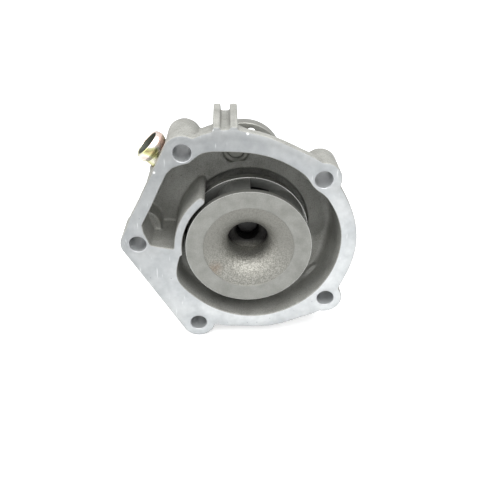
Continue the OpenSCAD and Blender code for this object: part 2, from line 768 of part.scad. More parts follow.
// The shaft seal, from the impeller's hub to the bottom of its case
seat_face = impeller_end + seat_back_t + seat_t;
carbon_from = seat_face + face_gap;
carbon_back = carbon_from + face_h + carbon_t;
carbon_inner = spindle_r + bellows_gap + bellows_t;
case_bottom = seal_bore_end - case_t;
spring_from = carbon_back + bellows_t + wire_d / 2;
spring_to = case_bottom - bellows_t - wire_d / 2;
spring_r = (carbon_inner + seal_bore_d / 2 - case_t) / 2;
module seat_cup() {
    color("#1f1f21") turned() polygon([
        [spindle_r, impeller_end], [seat_d / 2 - seat_back_t, impeller_end],
        [seat_d / 2 - seat_back_t, impeller_end + seat_back_t],
        [spindle_r + seat_cup_t, impeller_end + seat_back_t],
        [spindle_r + seat_cup_t, seat_face - edge],
        [spindle_r, seat_face - edge]]);
}
module seal_seat() {
    color("#e9e4d8") ring(spindle_r + seat_cup_t, seat_d / 2, impeller_end + seat_back_t, seat_face);
}
module carbon_ring() {
    face_r = (carbon_inner + carbon_d / 2) / 2;
    color("#2e2e30") turned() polygon([
        [face_r - face_w / 2, carbon_from], [face_r + face_w / 2, carbon_from],
        [face_r + face_w / 2, carbon_from + face_h], [carbon_d / 2, carbon_from + face_h],
        [carbon_d / 2, carbon_back], [carbon_inner, carbon_back],
        [carbon_inner, carbon_from + face_h], [face_r - face_w / 2, carbon_from + face_h]]);
}
module bellows_ferrule() {
    color("#b59a55") ring(carbon_d / 2, carbon_d / 2 + ferrule_t,
        carbon_from + face_h, carbon_back + bellows_t);
}
module seal_bellows() {
    sleeve = spindle_r + bellows_gap;
    color("#262628") turned() polygon([
        [sleeve, carbon_back], [carbon_d / 2, carbon_back], [carbon_d / 2, carbon_back + bellows_t],
        [carbon_inner, carbon_back + bellows_t], [carbon_inner, case_bottom - bellows_t],
        [seal_bore_d / 2 - case_t, case_bottom - bellows_t], [seal_bore_d / 2 - case_t, case_bottom],
        [case_hole_d / 2, case_bottom], [sleeve, case_bottom - bellows_t]]);
}
module seal_case() {
    color("#c2a45c") turned() polygon([
        [seal_bore_d / 2 - case_t, seal_floor - case_t],
        [seal_bore_d / 2 + case_flange_w, seal_floor - case_t],
        [seal_bore_d / 2 + case_flange_w, seal_floor], [seal_bore_d / 2, seal_floor],
        [seal_bore_d / 2, seal_bore_end], [case_hole_d / 2, seal_bore_end],
        [case_hole_d / 2, case_bottom], [seal_bore_d / 2 - case_t, case_bottom]]);
}
// Spring: one tube round a steady helix
spring_steps = 8;
wire_sides = 6;
spring_rings = round(spring_turns * spring_steps) + 1;
function spring_point(j, k) =
    let (
        s = j / (spring_rings - 1),
        a = s * spring_turns * turn,
        b = k * turn / wire_sides,
        r = spring_r + wire_d / 2 * cos(b)
    )
    polar(a, r, spring_from + (spring_to - spring_from) * s + wire_d / 2 * sin(b));
spring_gap = (spring_to - spring_from) / spring_turns - wire_d;
module seal_spring() {
    echo(spring_gap = spring_gap);
    n = wire_sides;
    last = (spring_rings - 1) * n;
    points = [for (j = [0 : spring_rings - 1], k = [0 : n - 1]) spring_point(j, k)];
    faces = concat(
        [for (j = [0 : spring_rings - 2], k = [0 : n - 1]) let (l = (k + 1) % n)
            [j * n + k, (j + 1) * n + l, j * n + l]],
        [for (j = [0 : spring_rings - 2], k = [0 : n - 1]) let (l = (k + 1) % n)
            [j * n + k, (j + 1) * n + k, (j + 1) * n + l]],
        [for (k = [1 : n - 2]) [0, k, k + 1]],
        [for (k = [1 : n - 2]) [last, last + k + 1, last + k]]);
    color("#b9bcc0") polyhedron(points, faces, convexity = 10);
}
module slinger() {
    middle = seal_bore_end + weep_chamber_l / 2;
    color("#3a3a3c") ring(spindle_r, slinger_d / 2, middle - slinger_t / 2, middle + slinger_t / 2);
}

module hub_flange() {
    boss_r = hub_boss_d / 2;
    color("#a9aaa6") difference() {
        turned() polygon([
            [spindle_r, hub_start], [boss_r - edge, hub_start], [boss_r, hub_start + edge],
            [boss_r, hub_face - hub_t - edge], [boss_r + edge, hub_face - hub_t],
            [hub_d / 2 - edge, hub_face - hub_t], [hub_d / 2, hub_face - hub_t + edge],
            [hub_d / 2, hub_face - edge], [hub_d / 2 - edge, hub_face],
            [pilot_d / 2, hub_face], [pilot_d / 2, hub_face + pilot_h - edge],
            [pilot_d / 2 - edge, hub_face + pilot_h], [spindle_r, hub_face + pilot_h]]);
        for (i = [0 : hub_holes - 1]) rotate([0, -hub_phase - i * turn / hub_holes, 0])
            translate([hub_circle_d / 2, 0, 0])
                bar(hub_hole_d / 2, hub_face - hub_t - overrun, hub_face + overrun);
    }
}

pump_housing();
bolt_lobes();
core_plug();
hose_nipple();
impeller();
spindle();
hub_flange();
bearing_ring();
front_balls();
rear_balls();
front_cage();
rear_cage();
front_bearing_seal();
rear_bearing_seal();
snap_ring();
seal_case();
seal_bellows();
bellows_ferrule();
seal_spring();
carbon_ring();
seal_seat();
seat_cup();
slinger();
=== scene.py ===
"""Looks of an engine water pump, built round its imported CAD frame.

The cast housing, impeller, hose nipple, core plug and hub are modelled again in detail and stand for their
CAD nodes. The shaft, bearing and seal parts stay CAD nodes and get their own finishes. Lengths are in metres.
"""

from __future__ import annotations

import logging
import math
from collections.abc import Iterable, Sequence
from dataclasses import dataclass
from enum import Enum, IntEnum

import bmesh
import bpy
from mathutils import Matrix, Vector, noise


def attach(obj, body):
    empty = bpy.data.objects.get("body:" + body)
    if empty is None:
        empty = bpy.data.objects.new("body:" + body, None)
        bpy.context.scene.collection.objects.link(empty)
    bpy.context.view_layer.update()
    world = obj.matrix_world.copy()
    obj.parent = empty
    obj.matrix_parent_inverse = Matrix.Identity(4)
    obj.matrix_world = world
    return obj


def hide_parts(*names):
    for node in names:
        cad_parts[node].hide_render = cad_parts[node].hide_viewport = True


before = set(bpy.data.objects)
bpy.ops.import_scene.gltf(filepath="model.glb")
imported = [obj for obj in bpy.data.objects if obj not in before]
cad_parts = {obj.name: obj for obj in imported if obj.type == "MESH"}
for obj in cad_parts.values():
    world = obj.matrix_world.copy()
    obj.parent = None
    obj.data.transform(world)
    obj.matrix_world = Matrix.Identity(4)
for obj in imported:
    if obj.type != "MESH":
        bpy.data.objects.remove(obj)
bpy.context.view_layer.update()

LOG = logging.getLogger("water_pump")
MM = 0.001
FULL_TURN = 2 * math.pi
SHAFT = Vector((0.0, 1.0, 0.0))
# Vertices nearer to each other than this are one, and so are the corners of the CAD's loose triangles
SAME_PLACE = 0.001 * MM
CAD_SEAM = 0.0005 * MM
# Settings of a node that mixes two colours, and of one that tones the first by the second
BLENDED = {"data_type": "RGBA"}
TONED = {"data_type": "RGBA", "blend_type": "MULTIPLY"}
Profile = Sequence[tuple[float, float]]


class Body(Enum):
    """The CAD bodies that pieces ride on."""

    HOUSING = "housing"
    ROTOR = "rotor"


class Shading(Enum):
    """How far two faces may turn from each other and still be shaded as one surface."""

    CAST = math.radians(48)
    MACHINED = math.radians(32)


def srgb(code: str) -> tuple[float, float, float, float]:
    """Turns a colour as it is seen on a screen into the linear one that a shader takes.

    Args:
        code: sRGB hex value, such as "#8a8a84".

    Returns:
        Linear red, green and blue, and an alpha of 1.
    """
    parts = [int(code[i : i + 2], 16) / 255 for i in (1, 3, 5)]
    linear = [c / 12.92 if c <= 0.04045 else ((c + 0.055) / 1.055) ** 2.4 for c in parts]
    return (linear[0], linear[1], linear[2], 1.0)


def scale_for(size_mm: float) -> float:
    """Scale of a texture whose features are about size_mm wide, on coordinates in metres."""
    return 1.0 / (size_mm * MM)


def sized(place: object, size_mm: float, **others: float) -> dict[str, object]:
    """Inputs of a texture that reads its place in metres and has features of a real size in mm."""
    return {"Vector": place, "Scale": scale_for(size_mm)} | others


def add(
    tree: bpy.types.NodeTree,
    kind: str,
    inputs: dict[int | str, object] | Sequence[object] = (),
    **settings: object,
) -> bpy.types.Node:
    """Adds a node with its settings and links.

    Args:
        tree: the node tree to add to.
        kind: the node's type name.
        inputs: what the input sockets hold, by their name or number, or simply in their order. Each holds a
            value, the output socket that feeds it, or a node, whose first output in use then feeds it.
        settings: properties of the node. "stops" gives a colour ramp's positions and colours.

    Returns:
        The new node.
    """
    made = tree.nodes.new(kind)
    stops = settings.pop("stops", None)
    for name, value in settings.items():
        setattr(made, name, value)
    for place, (position, colour) in enumerate(stops or ()):
        ramp = made.color_ramp.elements
        stop = ramp[place] if place < 2 else ramp.new(position)
        stop.position, stop.color = position, colour
    for socket, value in inputs.items() if isinstance(inputs, dict) else enumerate(inputs):
        if isinstance(value, bpy.types.Node):
            value = next(output for output in value.outputs if output.enabled)
        if isinstance(value, bpy.types.NodeSocket):
            tree.links.new(value, made.inputs[socket])
        else:
            made.inputs[socket].default_value = value
    return made


def closeness(
    tree: bpy.types.NodeTree, place: object, point_mm: tuple[float, float, float], reach_mm: float
) -> bpy.types.Node:
    """Measures how near the surface is to a point of the part.

    Args:
        tree: the material's node tree.
        place: the Object coordinates.
        point_mm: the point, in the part's frame.
        reach_mm: how far from it the effect ends.

    Returns:
        The node that gives 1 at the point and 0 from reach_mm away.
    """
    point = tuple(c * MM for c in point_mm)
    away = add(tree, "ShaderNodeVectorMath", (place, point), operation="DISTANCE")
    return add(tree, "ShaderNodeMapRange", (away, 0.0, reach_mm * MM, 1.0, 0.0))


def from_shaft(tree: bpy.types.NodeTree, place: object) -> bpy.types.Node:
    """Distance of the surface from the shaft line, in metres."""
    flat = add(tree, "ShaderNodeVectorMath", (place, (1, 0, 1)), operation="MULTIPLY")
    return add(tree, "ShaderNodeVectorMath", (flat,), operation="LENGTH")


# Finishes. Each names the real material, and its docstring or comment says what that gives the eye.


@dataclass(frozen=True)
class Finish:
    """A finish that a maker would name: its material name, colour, metallic share and roughness.

    A subclass draws its own pattern. This one is plain ground metal or moulded plastic with fine unevenness.
    """

    name: str = "ground steel"
    colour: str = "#c4c6c8"
    shade: str = "#a9abad"
    metallic: float = 1.0
    roughness: float = 0.3
    grain_mm: float = 1.2
    bump_mm: float = 0.01
    cloud_mm: float = 9.0

    def draw(self, tree: bpy.types.NodeTree, place: object) -> dict[str, object]:
        """Draws soft clouds of the shade and a fine unevenness.

        Args:
            tree: the material's node tree.
            place: the Object coordinates that every pattern reads.

        Returns:
            The nodes for the shader's inputs, by name.
        """
        cloud = add(tree, "ShaderNodeTexNoise", sized(place, self.cloud_mm, Detail=3.0))
        share = add(tree, "ShaderNodeMapRange", (cloud, 0.35, 0.65))
        grain = add(tree, "ShaderNodeTexNoise", sized(place, self.grain_mm, Detail=4.0))
        metal = add(tree, "ShaderNodeMix", {0: share, 6: srgb(self.colour), 7: srgb(self.shade)}, **BLENDED)
        uneven = (grain, 0.3, 0.7, self.roughness - 0.05, self.roughness + 0.07)
        return self.surface(tree, metal, uneven, grain)

    def surface(
        self,
        tree: bpy.types.NodeTree,
        colour: object,
        uneven: Sequence[object],
        height: object,
        strength: float = 1.0,
    ) -> dict[str, object]:
        """Puts the shader's inputs together.

        Args:
            tree: the material's node tree.
            colour: what gives the colour.
            uneven: what the roughness follows, the two ends of that, and the roughness at these ends.
            height: what gives the relief.
            strength: how much of the relief shows.

        Returns:
            The nodes for the shader's inputs, by name.
        """
        relief = {"Height": height, "Distance": self.bump_mm * MM, "Strength": strength}
        return {
            "Base Color": colour,
            "Roughness": add(tree, "ShaderNodeMapRange", uneven),
            "Normal": add(tree, "ShaderNodeBump", relief),
        }

    def material(self) -> bpy.types.Material:
        """Makes the material once, for every piece that has this finish.

        Returns:
            The material.
        """
        found = bpy.data.materials.get(self.name)
        if found is not None:
            return found
        made = bpy.data.materials.new(self.name)
        made.use_nodes = True
        tree = made.node_tree
        tree.nodes.clear()
        place = add(tree, "ShaderNodeTexCoord").outputs["Object"]
        shader = add(tree, "ShaderNodeBsdfPrincipled", {"Metallic": self.metallic} | self.draw(tree, place))
        add(tree, "ShaderNodeOutputMaterial", {"Surface": shader})
        return made


@dataclass(frozen=True)
class SandCastAluminium(Finish):
    """Aluminium as it leaves the mould: a matt warm grey skin with fine grains and soft clouds."""

    name: str = "as-cast aluminium"
    colour: str = "#9a9a95"
    shade: str = "#868681"
    pit_colour: str = "#4a4a46"
    metallic: float = 0.45
    roughness: float = 0.6
    grain_mm: float = 0.55
    coarse_mm: float = 1.9
    coarse_share: float = 1.6
    pit_spacing_mm: float = 4.5
    bump_mm: float = 0.09
    cloud_mm: float = 14.0

    def draw(self, tree: bpy.types.NodeTree, place: object) -> dict[str, object]:
        """Draws mould grains, clouds of oxide and a few dark pits.

        Args:
            tree: the material's node tree.
            place: the Object coordinates that every pattern reads.

        Returns:
            The nodes for the shader's inputs, by name.
        """
        cloud = add(tree, "ShaderNodeTexNoise", sized(place, self.cloud_mm, Detail=4.0))
        toning = add(tree, "ShaderNodeMapRange", (cloud, 0.36, 0.66))
        skin = add(tree, "ShaderNodeMix", {0: toning, 6: srgb(self.colour), 7: srgb(self.shade)}, **BLENDED)
        grain = add(tree, "ShaderNodeTexNoise", sized(place, self.grain_mm, Detail=5.0))
        speckle = add(tree, "ShaderNodeMapRange", (grain, 0.36, 0.62, 0.8, 1.1))
        speckled = add(tree, "ShaderNodeMix", {0: 1.0, 6: skin, 7: speckle}, **TONED)
        cell = add(tree, "ShaderNodeTexVoronoi", sized(place, self.pit_spacing_mm, Randomness=1.0))
        pit = add(tree, "ShaderNodeMapRange", (cell, 0.05, 0.11, 0.55, 0.0))
        pitted = add(tree, "ShaderNodeMix", {0: pit, 6: speckled, 7: srgb(self.pit_colour)}, **BLENDED)
        coarse = add(tree, "ShaderNodeTexNoise", sized(place, self.coarse_mm, Detail=3.0))
        swell = add(tree, "ShaderNodeMath", (coarse, self.coarse_share), operation="MULTIPLY")
        height = add(tree, "ShaderNodeMath", (grain, swell), operation="ADD")
        uneven = (coarse, 0.3, 0.7, self.roughness - 0.08, self.roughness + 0.1)
        return self.surface(tree, pitted, uneven, height)


@dataclass(frozen=True)
class MilledAluminium(Finish):
    """The milled face: pale and bluish, with dull stains, faint cutter lines, scuffs and dark pores, painted
    shade that darkens its upper left, and dings on its edge painted white as highlights.
    """

    name: str = "milled aluminium"
    colour: str = "#dbdddd"
    shade: str = "#cacdce"
    scuff_colour: str = "#e8e9e9"
    pore_colour: str = "#6f7378"
    edge_highlight_colour: str = "#ffffff"
    metallic: float = 0.86
    roughness: float = 0.42
    haze_mm: float = 3.2
    scuff_mm: float = 1.1
    pore_spacing_mm: float = 5.5
    cutter_line_mm: float = 0.7
    bump_mm: float = 0.012
    cloud_mm: float = 17.0
    # Painted shade: how dark the face is painted at its upper left and at its lower right, and along which
    # direction and between which places it gets lighter
    painted_shade_share: float = 0.52
    painted_light_share: float = 0.9
    painted_light_towards: tuple[float, float, float] = (0.5, 0, -0.7)
    painted_shade_until: float = -50.0 * MM
    painted_light_from: float = 25.0 * MM
    # Scuffs are long up and down, cutter lines from side to side
    scuff_stretch: tuple[float, float, float] = (1.0, 1.0, 0.12)
    line_stretch: tuple[float, float, float] = (0.06, 1.0, 1.0)
    # Painted highlights: dings in the face's outer edge, painted white where the edge catches the light
    edge_highlight_reach_mm: float = 1.0
    edge_highlights_mm: tuple[tuple[float, float, float], ...] = (
        (-0.9, 0, 62.7), (26.4, 0, 53.0), (-17.2, 0, 64.6), (-45.5, 0, 43.4),
    )

    def haze_and_painted_shade(self, tree: bpy.types.NodeTree, place: object, metal: object) -> bpy.types.Node:
        """Tones the metal with a fine haze and with painted shade, darker at the face's upper left than at
        its lower right.

        Args:
            tree: the material's node tree.
            place: the Object coordinates.
            metal: the clean metal's colour.

        Returns:
            The node that gives the hazed and shaded colour.
        """
        cloud = add(tree, "ShaderNodeTexNoise", sized(place, self.haze_mm, Detail=4.0))
        haze = add(tree, "ShaderNodeMapRange", (cloud, 0.35, 0.7, 0.93, 1.04))
        # Painted shade: the face is painted darker towards its upper left and lighter towards its lower right
        across = add(tree, "ShaderNodeVectorMath", (place, self.painted_light_towards), operation="DOT_PRODUCT")
        fading = (across, self.painted_shade_until, self.painted_light_from, self.painted_shade_share, self.painted_light_share)
        drift = add(tree, "ShaderNodeMapRange", fading)
        toning = add(tree, "ShaderNodeMath", (haze, drift), operation="MULTIPLY")
        return add(tree, "ShaderNodeMix", {0: 1.0, 6: metal, 7: toning}, **TONED)

    def draw(self, tree: bpy.types.NodeTree, place: object) -> dict[str, object]:
        """Draws the stains, cutter lines, scuffs, pores, the dings painted white as highlights and the
        painted shade of the milled face.

        Args:
            tree: the material's node tree.
            place: the Object coordinates that every pattern reads.

        Returns:
            The nodes for the shader's inputs, by name.
        """
        cloud = add(tree, "ShaderNodeTexNoise", sized(place, self.cloud_mm, Detail=5.0))
        stain = add(tree, "ShaderNodeMapRange", (cloud, 0.38, 0.62))
        clean = add(tree, "ShaderNodeMix", {0: stain, 6: srgb(self.colour), 7: srgb(self.shade)}, **BLENDED)
        # Fine haze and painted shade over the clean metal
        hazed_and_shaded = self.haze_and_painted_shade(tree, place, clean)
        upright = add(tree, "ShaderNodeMapping", {"Vector": place, "Scale": self.scuff_stretch})
        rub = add(tree, "ShaderNodeTexNoise", sized(upright, self.scuff_mm, Detail=2.0))
        scuff = add(tree, "ShaderNodeMapRange", (rub, 0.66, 0.74, 0.0, 0.5))
        scuffed = add(tree, "ShaderNodeMix", {0: scuff, 6: hazed_and_shaded, 7: srgb(self.scuff_colour)}, **BLENDED)
        cell = add(tree, "ShaderNodeTexVoronoi", sized(place, self.pore_spacing_mm, Randomness=1.0))
        pore = add(tree, "ShaderNodeMapRange", (cell, 0.03, 0.075, 0.7, 0.0))
        porous = add(tree, "ShaderNodeMix", {0: pore, 6: scuffed, 7: srgb(self.pore_colour)}, **BLENDED)
        # Painted highlight: white spots on the dings along the face's edge
        painted_highlight: object = 0.0
        for point in self.edge_highlights_mm:
            near = closeness(tree, place, point, self.edge_highlight_reach_mm)
            bright = add(tree, "ShaderNodeMapRange", (near, 0.2, 0.7, 0.0, 0.85))
            painted_highlight = add(tree, "ShaderNodeMath", (painted_highlight, bright), operation="MAXIMUM")
        highlighted = add(tree, "ShaderNodeMix", {0: painted_highlight, 6: porous, 7: srgb(self.edge_highlight_colour)}, **BLENDED)
        level = add(tree, "ShaderNodeMapping", {"Vector": place, "Scale": self.line_stretch})
        lines = add(tree, "ShaderNodeTexNoise", sized(level, self.cutter_line_mm, Detail=2.0))
        uneven = (stain, 0.0, 1.0, self.roughness - 0.04, self.roughness + 0.1)
        return self.surface(tree, highlighted, uneven, lines, 0.7)


@dataclass(frozen=True)
class TurnedIron(Finish):
    """Grey iron cut on a lathe: a satin warm grey with faint rings round the shaft line."""

    name: str = "turned grey iron"
    colour: str = "#92928d"
    shade: str = "#868681"
    ring_colour: str = "#85857f"
    metallic: float = 0.8
    roughness: float = 0.46
    # The real feed is about 0.2 mm a turn. It is drawn coarser so that it shows.
    feed_mm: float = 1.1
    sway_mm: float = 6.0
    sway_turn: float = 1.5
    grain_mm: float = 0.6
    bump_mm: float = 0.006
    cloud_mm: float = 8.0

    def draw(self, tree: bpy.types.NodeTree, place: object) -> dict[str, object]:
        """Draws the rings of the tool's feed over a slightly mottled metal.

        Args:
            tree: the material's node tree.
            place: the Object coordinates that every pattern reads.

        Returns:
            The nodes for the shader's inputs, by name.
        """
        sway = add(tree, "ShaderNodeTexNoise", sized(place, self.sway_mm, Detail=3.0))
        wobble = add(tree, "ShaderNodeMath", (sway, self.sway_turn), operation="MULTIPLY")
        feeds = (from_shaft(tree, place), FULL_TURN / (self.feed_mm * MM))
        turns = add(tree, "ShaderNodeMath", feeds, operation="MULTIPLY")
        phase = add(tree, "ShaderNodeMath", (turns, wobble), operation="ADD")
        rings = add(tree, "ShaderNodeMath", (phase,), operation="SINE")
        mottle = add(tree, "ShaderNodeTexNoise", sized(place, self.cloud_mm, Detail=5.0))
        cloud = add(tree, "ShaderNodeMapRange", (mottle, 0.36, 0.64))
        metal = add(tree, "ShaderNodeMix", {0: cloud, 6: srgb(self.colour), 7: srgb(self.shade)}, **BLENDED)
        grain = add(tree, "ShaderNodeTexNoise", sized(place, self.grain_mm, Detail=3.0))
        speck = add(tree, "ShaderNodeMapRange", (grain, 0.3, 0.7, 0.92, 1.06))
        toned = add(tree, "ShaderNodeMix", {0: 1.0, 6: metal, 7: speck}, **TONED)
        groove = add(tree, "ShaderNodeMapRange", (rings, -1.0, 1.0, 0.0, 0.1))
        ringed = add(tree, "ShaderNodeMix", {0: groove, 6: toned, 7: srgb(self.ring_colour)}, **BLENDED)
        uneven = (cloud, 0.0, 1.0, self.roughness - 0.05, self.roughness + 0.06)
        return self.surface(tree, ringed, uneven, rings, 0.6)


@dataclass(frozen=True)
class CastIron(Finish):
    """Grey iron as cast: coarse grains with painted glints, a little rust where water dried, and painted
    shadow high up in the eye.
    """

    name: str = "as-cast grey iron"
    colour: str = "#9a9992"
    shade: str = "#7b7a74"
    rust_colour: str = "#80664e"
    eye_shadow_colour: str = "#1f1e1e"
    metallic: float = 0.75
    roughness: float = 0.5
    grain_mm: float = 0.7
    bump_mm: float = 0.36
    # The grains get coarser in this direction, and lighter with painted glints, and are at their coarsest and
    # lightest this far along it
    grain_and_glint_towards: tuple[float, float, float] = (0, 1, -0.5)
    grain_and_glint_from: float = 8.0 * MM
    rust_place_mm: tuple[float, float, float] = (-17.5, 1.0, -12.5)
    rust_reach_mm: float = 6.5
    rust_grain_mm: float = 2.2
    # Painted shadow: black high up in the eye; it sets in between two places along a direction, within a
    # radius
    eye_shadow_towards: tuple[float, float, float] = (0, 1, 0.5)
    eye_shadow_starts: float = 13.5 * MM
    eye_shadow_full: float = 16.5 * MM
    eye_shadow_radius: float = 12.0 * MM

    def painted_eye_shadow(self, tree: bpy.types.NodeTree, place: object) -> bpy.types.Node:
        """Finds where the eye is painted black as shadow.

        Args:
            tree: the material's node tree.
            place: the Object coordinates.

        Returns:
            The node that gives the painted shadow's share.
        """
        inwards = add(tree, "ShaderNodeVectorMath", (place, self.eye_shadow_towards), operation="DOT_PRODUCT")
        deep = add(tree, "ShaderNodeMapRange", (inwards, self.eye_shadow_starts, self.eye_shadow_full, 0.0, 0.95))
        edge = (from_shaft(tree, place), self.eye_shadow_radius, self.eye_shadow_radius + MM, 1.0, 0.0)
        inside = add(tree, "ShaderNodeMapRange", edge)
        return add(tree, "ShaderNodeMath", (deep, inside), operation="MULTIPLY")

    def draw(self, tree: bpy.types.NodeTree, place: object) -> dict[str, object]:
        """Draws grains that get coarser and lighter down the funnel, the lighter speckles a painted glint,
        one faint rust stain, and the painted shadow in the eye.

        Args:
            tree: the material's node tree.
            place: the Object coordinates that every pattern reads.

        Returns:
            The nodes for the shader's inputs, by name.
        """
        slope = add(tree, "ShaderNodeVectorMath", (place, self.grain_and_glint_towards), operation="DOT_PRODUCT")
        coarse = add(tree, "ShaderNodeMapRange", (slope, 0.0, self.grain_and_glint_from, 0.2, 1.0))
        grain = add(tree, "ShaderNodeTexNoise", sized(place, self.grain_mm, Detail=6.0))
        spread = add(tree, "ShaderNodeMapRange", (grain, 0.4, 0.6))
        # Painted highlight: lower down and deeper in the funnel the grains are painted lighter and more
        # speckled; their relief there is real coarseness
        share = add(tree, "ShaderNodeMath", (spread, coarse), operation="MULTIPLY")
        metal = add(tree, "ShaderNodeMix", {0: share, 6: srgb(self.shade), 7: srgb(self.colour)}, **BLENDED)
        near = closeness(tree, place, self.rust_place_mm, self.rust_reach_mm)
        mottle = add(tree, "ShaderNodeTexNoise", sized(place, self.rust_grain_mm, Detail=4.0))
        patch = add(tree, "ShaderNodeMath", (near, mottle), operation="MULTIPLY")
        rust = add(tree, "ShaderNodeMapRange", (patch, 0.1, 0.45, 0.0, 0.35))
        rusty = add(tree, "ShaderNodeMix", {0: rust, 6: metal, 7: srgb(self.rust_colour)}, **BLENDED)
        # Painted shadow high up in the eye
        blacks = {0: self.painted_eye_shadow(tree, place), 6: rusty, 7: srgb(self.eye_shadow_colour)}
        height = add(tree, "ShaderNodeMath", (grain, coarse), operation="MULTIPLY")
        uneven = (grain, 0.35, 0.65, self.roughness + 0.12, self.roughness - 0.12)
        return self.surface(tree, add(tree, "ShaderNodeMix", blacks, **BLENDED), uneven, height)


@dataclass(frozen=True)
class DarkEndedSteel(Finish):
    """Ground steel, nearly black and less metallic at its front end."""

    name: str = "ground steel with a dark front end"
    front_end_colour: str = "#2a2928"
    front_end_metallic: float = 0.4
    dark_until: float = 34.0 * MM
    dark_edge: float = 2.0 * MM

    def draw(self, tree: bpy.types.NodeTree, place: object) -> dict[str, object]:
        """Draws ground steel with its front end blackened.

        Args:
            tree: the material's node tree.
            place: the Object coordinates that every pattern reads.

        Returns:
            The nodes for the shader's inputs, by name.
        """
        plain = super().draw(tree, place)
        depth = add(tree, "ShaderNodeSeparateXYZ", (place,)).outputs["Y"]
        edge = (depth, self.dark_until, self.dark_until + self.dark_edge)
        clean = add(tree, "ShaderNodeMapRange", edge)
        shine = (clean, 0.0, 1.0, self.front_end_metallic, self.metallic)
        colours = {0: clean, 6: srgb(self.front_end_colour), 7: plain["Base Color"]}
        return plain | {
            "Base Color": add(tree, "ShaderNodeMix", colours, **BLENDED),
            "Metallic": add(tree, "ShaderNodeMapRange", shine),
        }


@dataclass(frozen=True)
class YellowZinc(Finish):
    """Yellow chromate on zinc plate: pale gold that drifts to pink and green as its film gets thicker."""

    name: str = "yellow zinc plate"
    hues: tuple[str, ...] = ("#cfc08f", "#e2d6c2", "#e3c4b8", "#eee7df", "#cdcf96", "#bda678")
    roughness: float = 0.2
    grain_mm: float = 1.6
    bump_mm: float = 0.03
    cloud_mm: float = 11.0
    # The film gets thicker in this direction across the tube, from one side to the other
    thicker_towards: tuple[float, float, float] = (-0.7, 0, -0.7)
    side_reach: float = 8.0 * MM
    first_stop: float = 0.32
    stop_gap: float = 0.07

    def draw(self, tree: bpy.types.NodeTree, place: object) -> dict[str, object]:
        """Draws the colours of the thin film, in soft bands along and round the tube.

        Args:
            tree: the material's node tree.
            place: the Object coordinates that every pattern reads.

        Returns:
            The nodes for the shader's inputs, by name.
        """
        across = add(tree, "ShaderNodeVectorMath", (place, self.thicker_towards), operation="DOT_PRODUCT")
        drift = add(tree, "ShaderNodeMapRange", (across, -self.side_reach, self.side_reach, -0.03, 0.13))
        cloud = add(tree, "ShaderNodeTexNoise", sized(place, self.cloud_mm, Detail=1.5))
        film = add(tree, "ShaderNodeMath", (cloud, drift), operation="ADD")
        stops = [(self.first_stop + self.stop_gap * i, srgb(hue)) for i, hue in enumerate(self.hues)]
        grain = add(tree, "ShaderNodeTexNoise", sized(place, self.grain_mm, Detail=3.0))
        uneven = (grain, 0.3, 0.7, self.roughness - 0.06, self.roughness + 0.08)
        return self.surface(tree, add(tree, "ShaderNodeValToRGB", (film,), stops=stops), uneven, grain, 0.8)


CAST_SKIN = SandCastAluminium()
MILLED_FACE = MilledAluminium()
TURNED_IRON = TurnedIron()
# Turned rim of the outlets: the same metal, painted darker as shade, where the shrouds and the chamber keep
# the light off
SHADED_IRON = TurnedIron(name="turned iron with painted shade", colour="#7c7d7a", shade="#6f706d", roughness=0.5)
ROUGH_IRON = CastIron()
# Painted shadow in the eye and the passages: a dull black
SHADOW_BLACK_IRON = Finish("iron with painted shadow", "#2b2a29", "#232221", 0.3, 0.6, 0.9, 0.12)
# The tube's bore: a dark greenish grey
TUBE_BORE = Finish("dark bore of the tube", "#55584f", "#4a4d45", 0.6, 0.5, 0.8, 0.03)
ZINC = YellowZinc()
# Nitrile rubber from the mould: near black and matt, with a faint bloom
RUBBER = Finish("moulded black rubber", "#262628", "#333335", 0.0, 0.7, 1.2, 0.03)
# Bored aluminium: darker than the milled face, because less light gets in
BORED = Finish("bored aluminium", "#b4b6b7", "#a2a4a5", 0.5, 0.42, 1.4, 0.01)
# Painted highlight: a bright finish on the corners of the iron's rims, where they catch the light
EDGE_HIGHLIGHT_IRON = Finish("iron edge with painted highlight", "#dededa", "#cfcfcb", 0.85, 0.3, 1.4, 0.01)
# Sheet steel from the press: a flat warm grey
DULL_STEEL = Finish("dull pressed steel", "#8f8f89", "#7f7f79", 0.75, 0.5, 0.7, 0.05)
DARK_ENDED_STEEL = DarkEndedSteel()
# Hardened and ground: a clean cool grey with a soft shine
BEARING_STEEL = Finish("bearing steel", "#cfd1d3", "#bfc1c3", 1.0, 0.22, 1.5, 0.004)
# Lapped balls: nearly a mirror
BALL_STEEL = Finish("polished ball steel", "#dcdee0", "#d2d4d6", 1.0, 0.08, 2.0, 0.001)
# Undyed nylon from the mould: cream, with a waxy sheen
NYLON = Finish("natural nylon", "#d8cfb4", "#cfc5a8", 0.0, 0.45, 1.0, 0.02)
# Drawn wire with oil on it: dark and shiny
SPRING_STEEL = Finish("oiled spring steel", "#5c5e61", "#4d4f52", 1.0, 0.35, 0.8, 0.02)
# Drawn sheet: a satin yellow metal
BRASS = Finish("drawn brass sheet", "#c8ab63", "#b89a52", 1.0, 0.28, 1.4, 0.01)
# Lapped face of pressed carbon: black with a graphite sheen
CARBON = Finish("lapped carbon", "#2f2f31", "#29292b", 0.0, 0.38, 0.6, 0.01)
# Sintered and lapped: ivory and glossy
CERAMIC = Finish("lapped alumina ceramic", "#ece7da", "#e4dfd0", 0.0, 0.2, 1.0, 0.005)

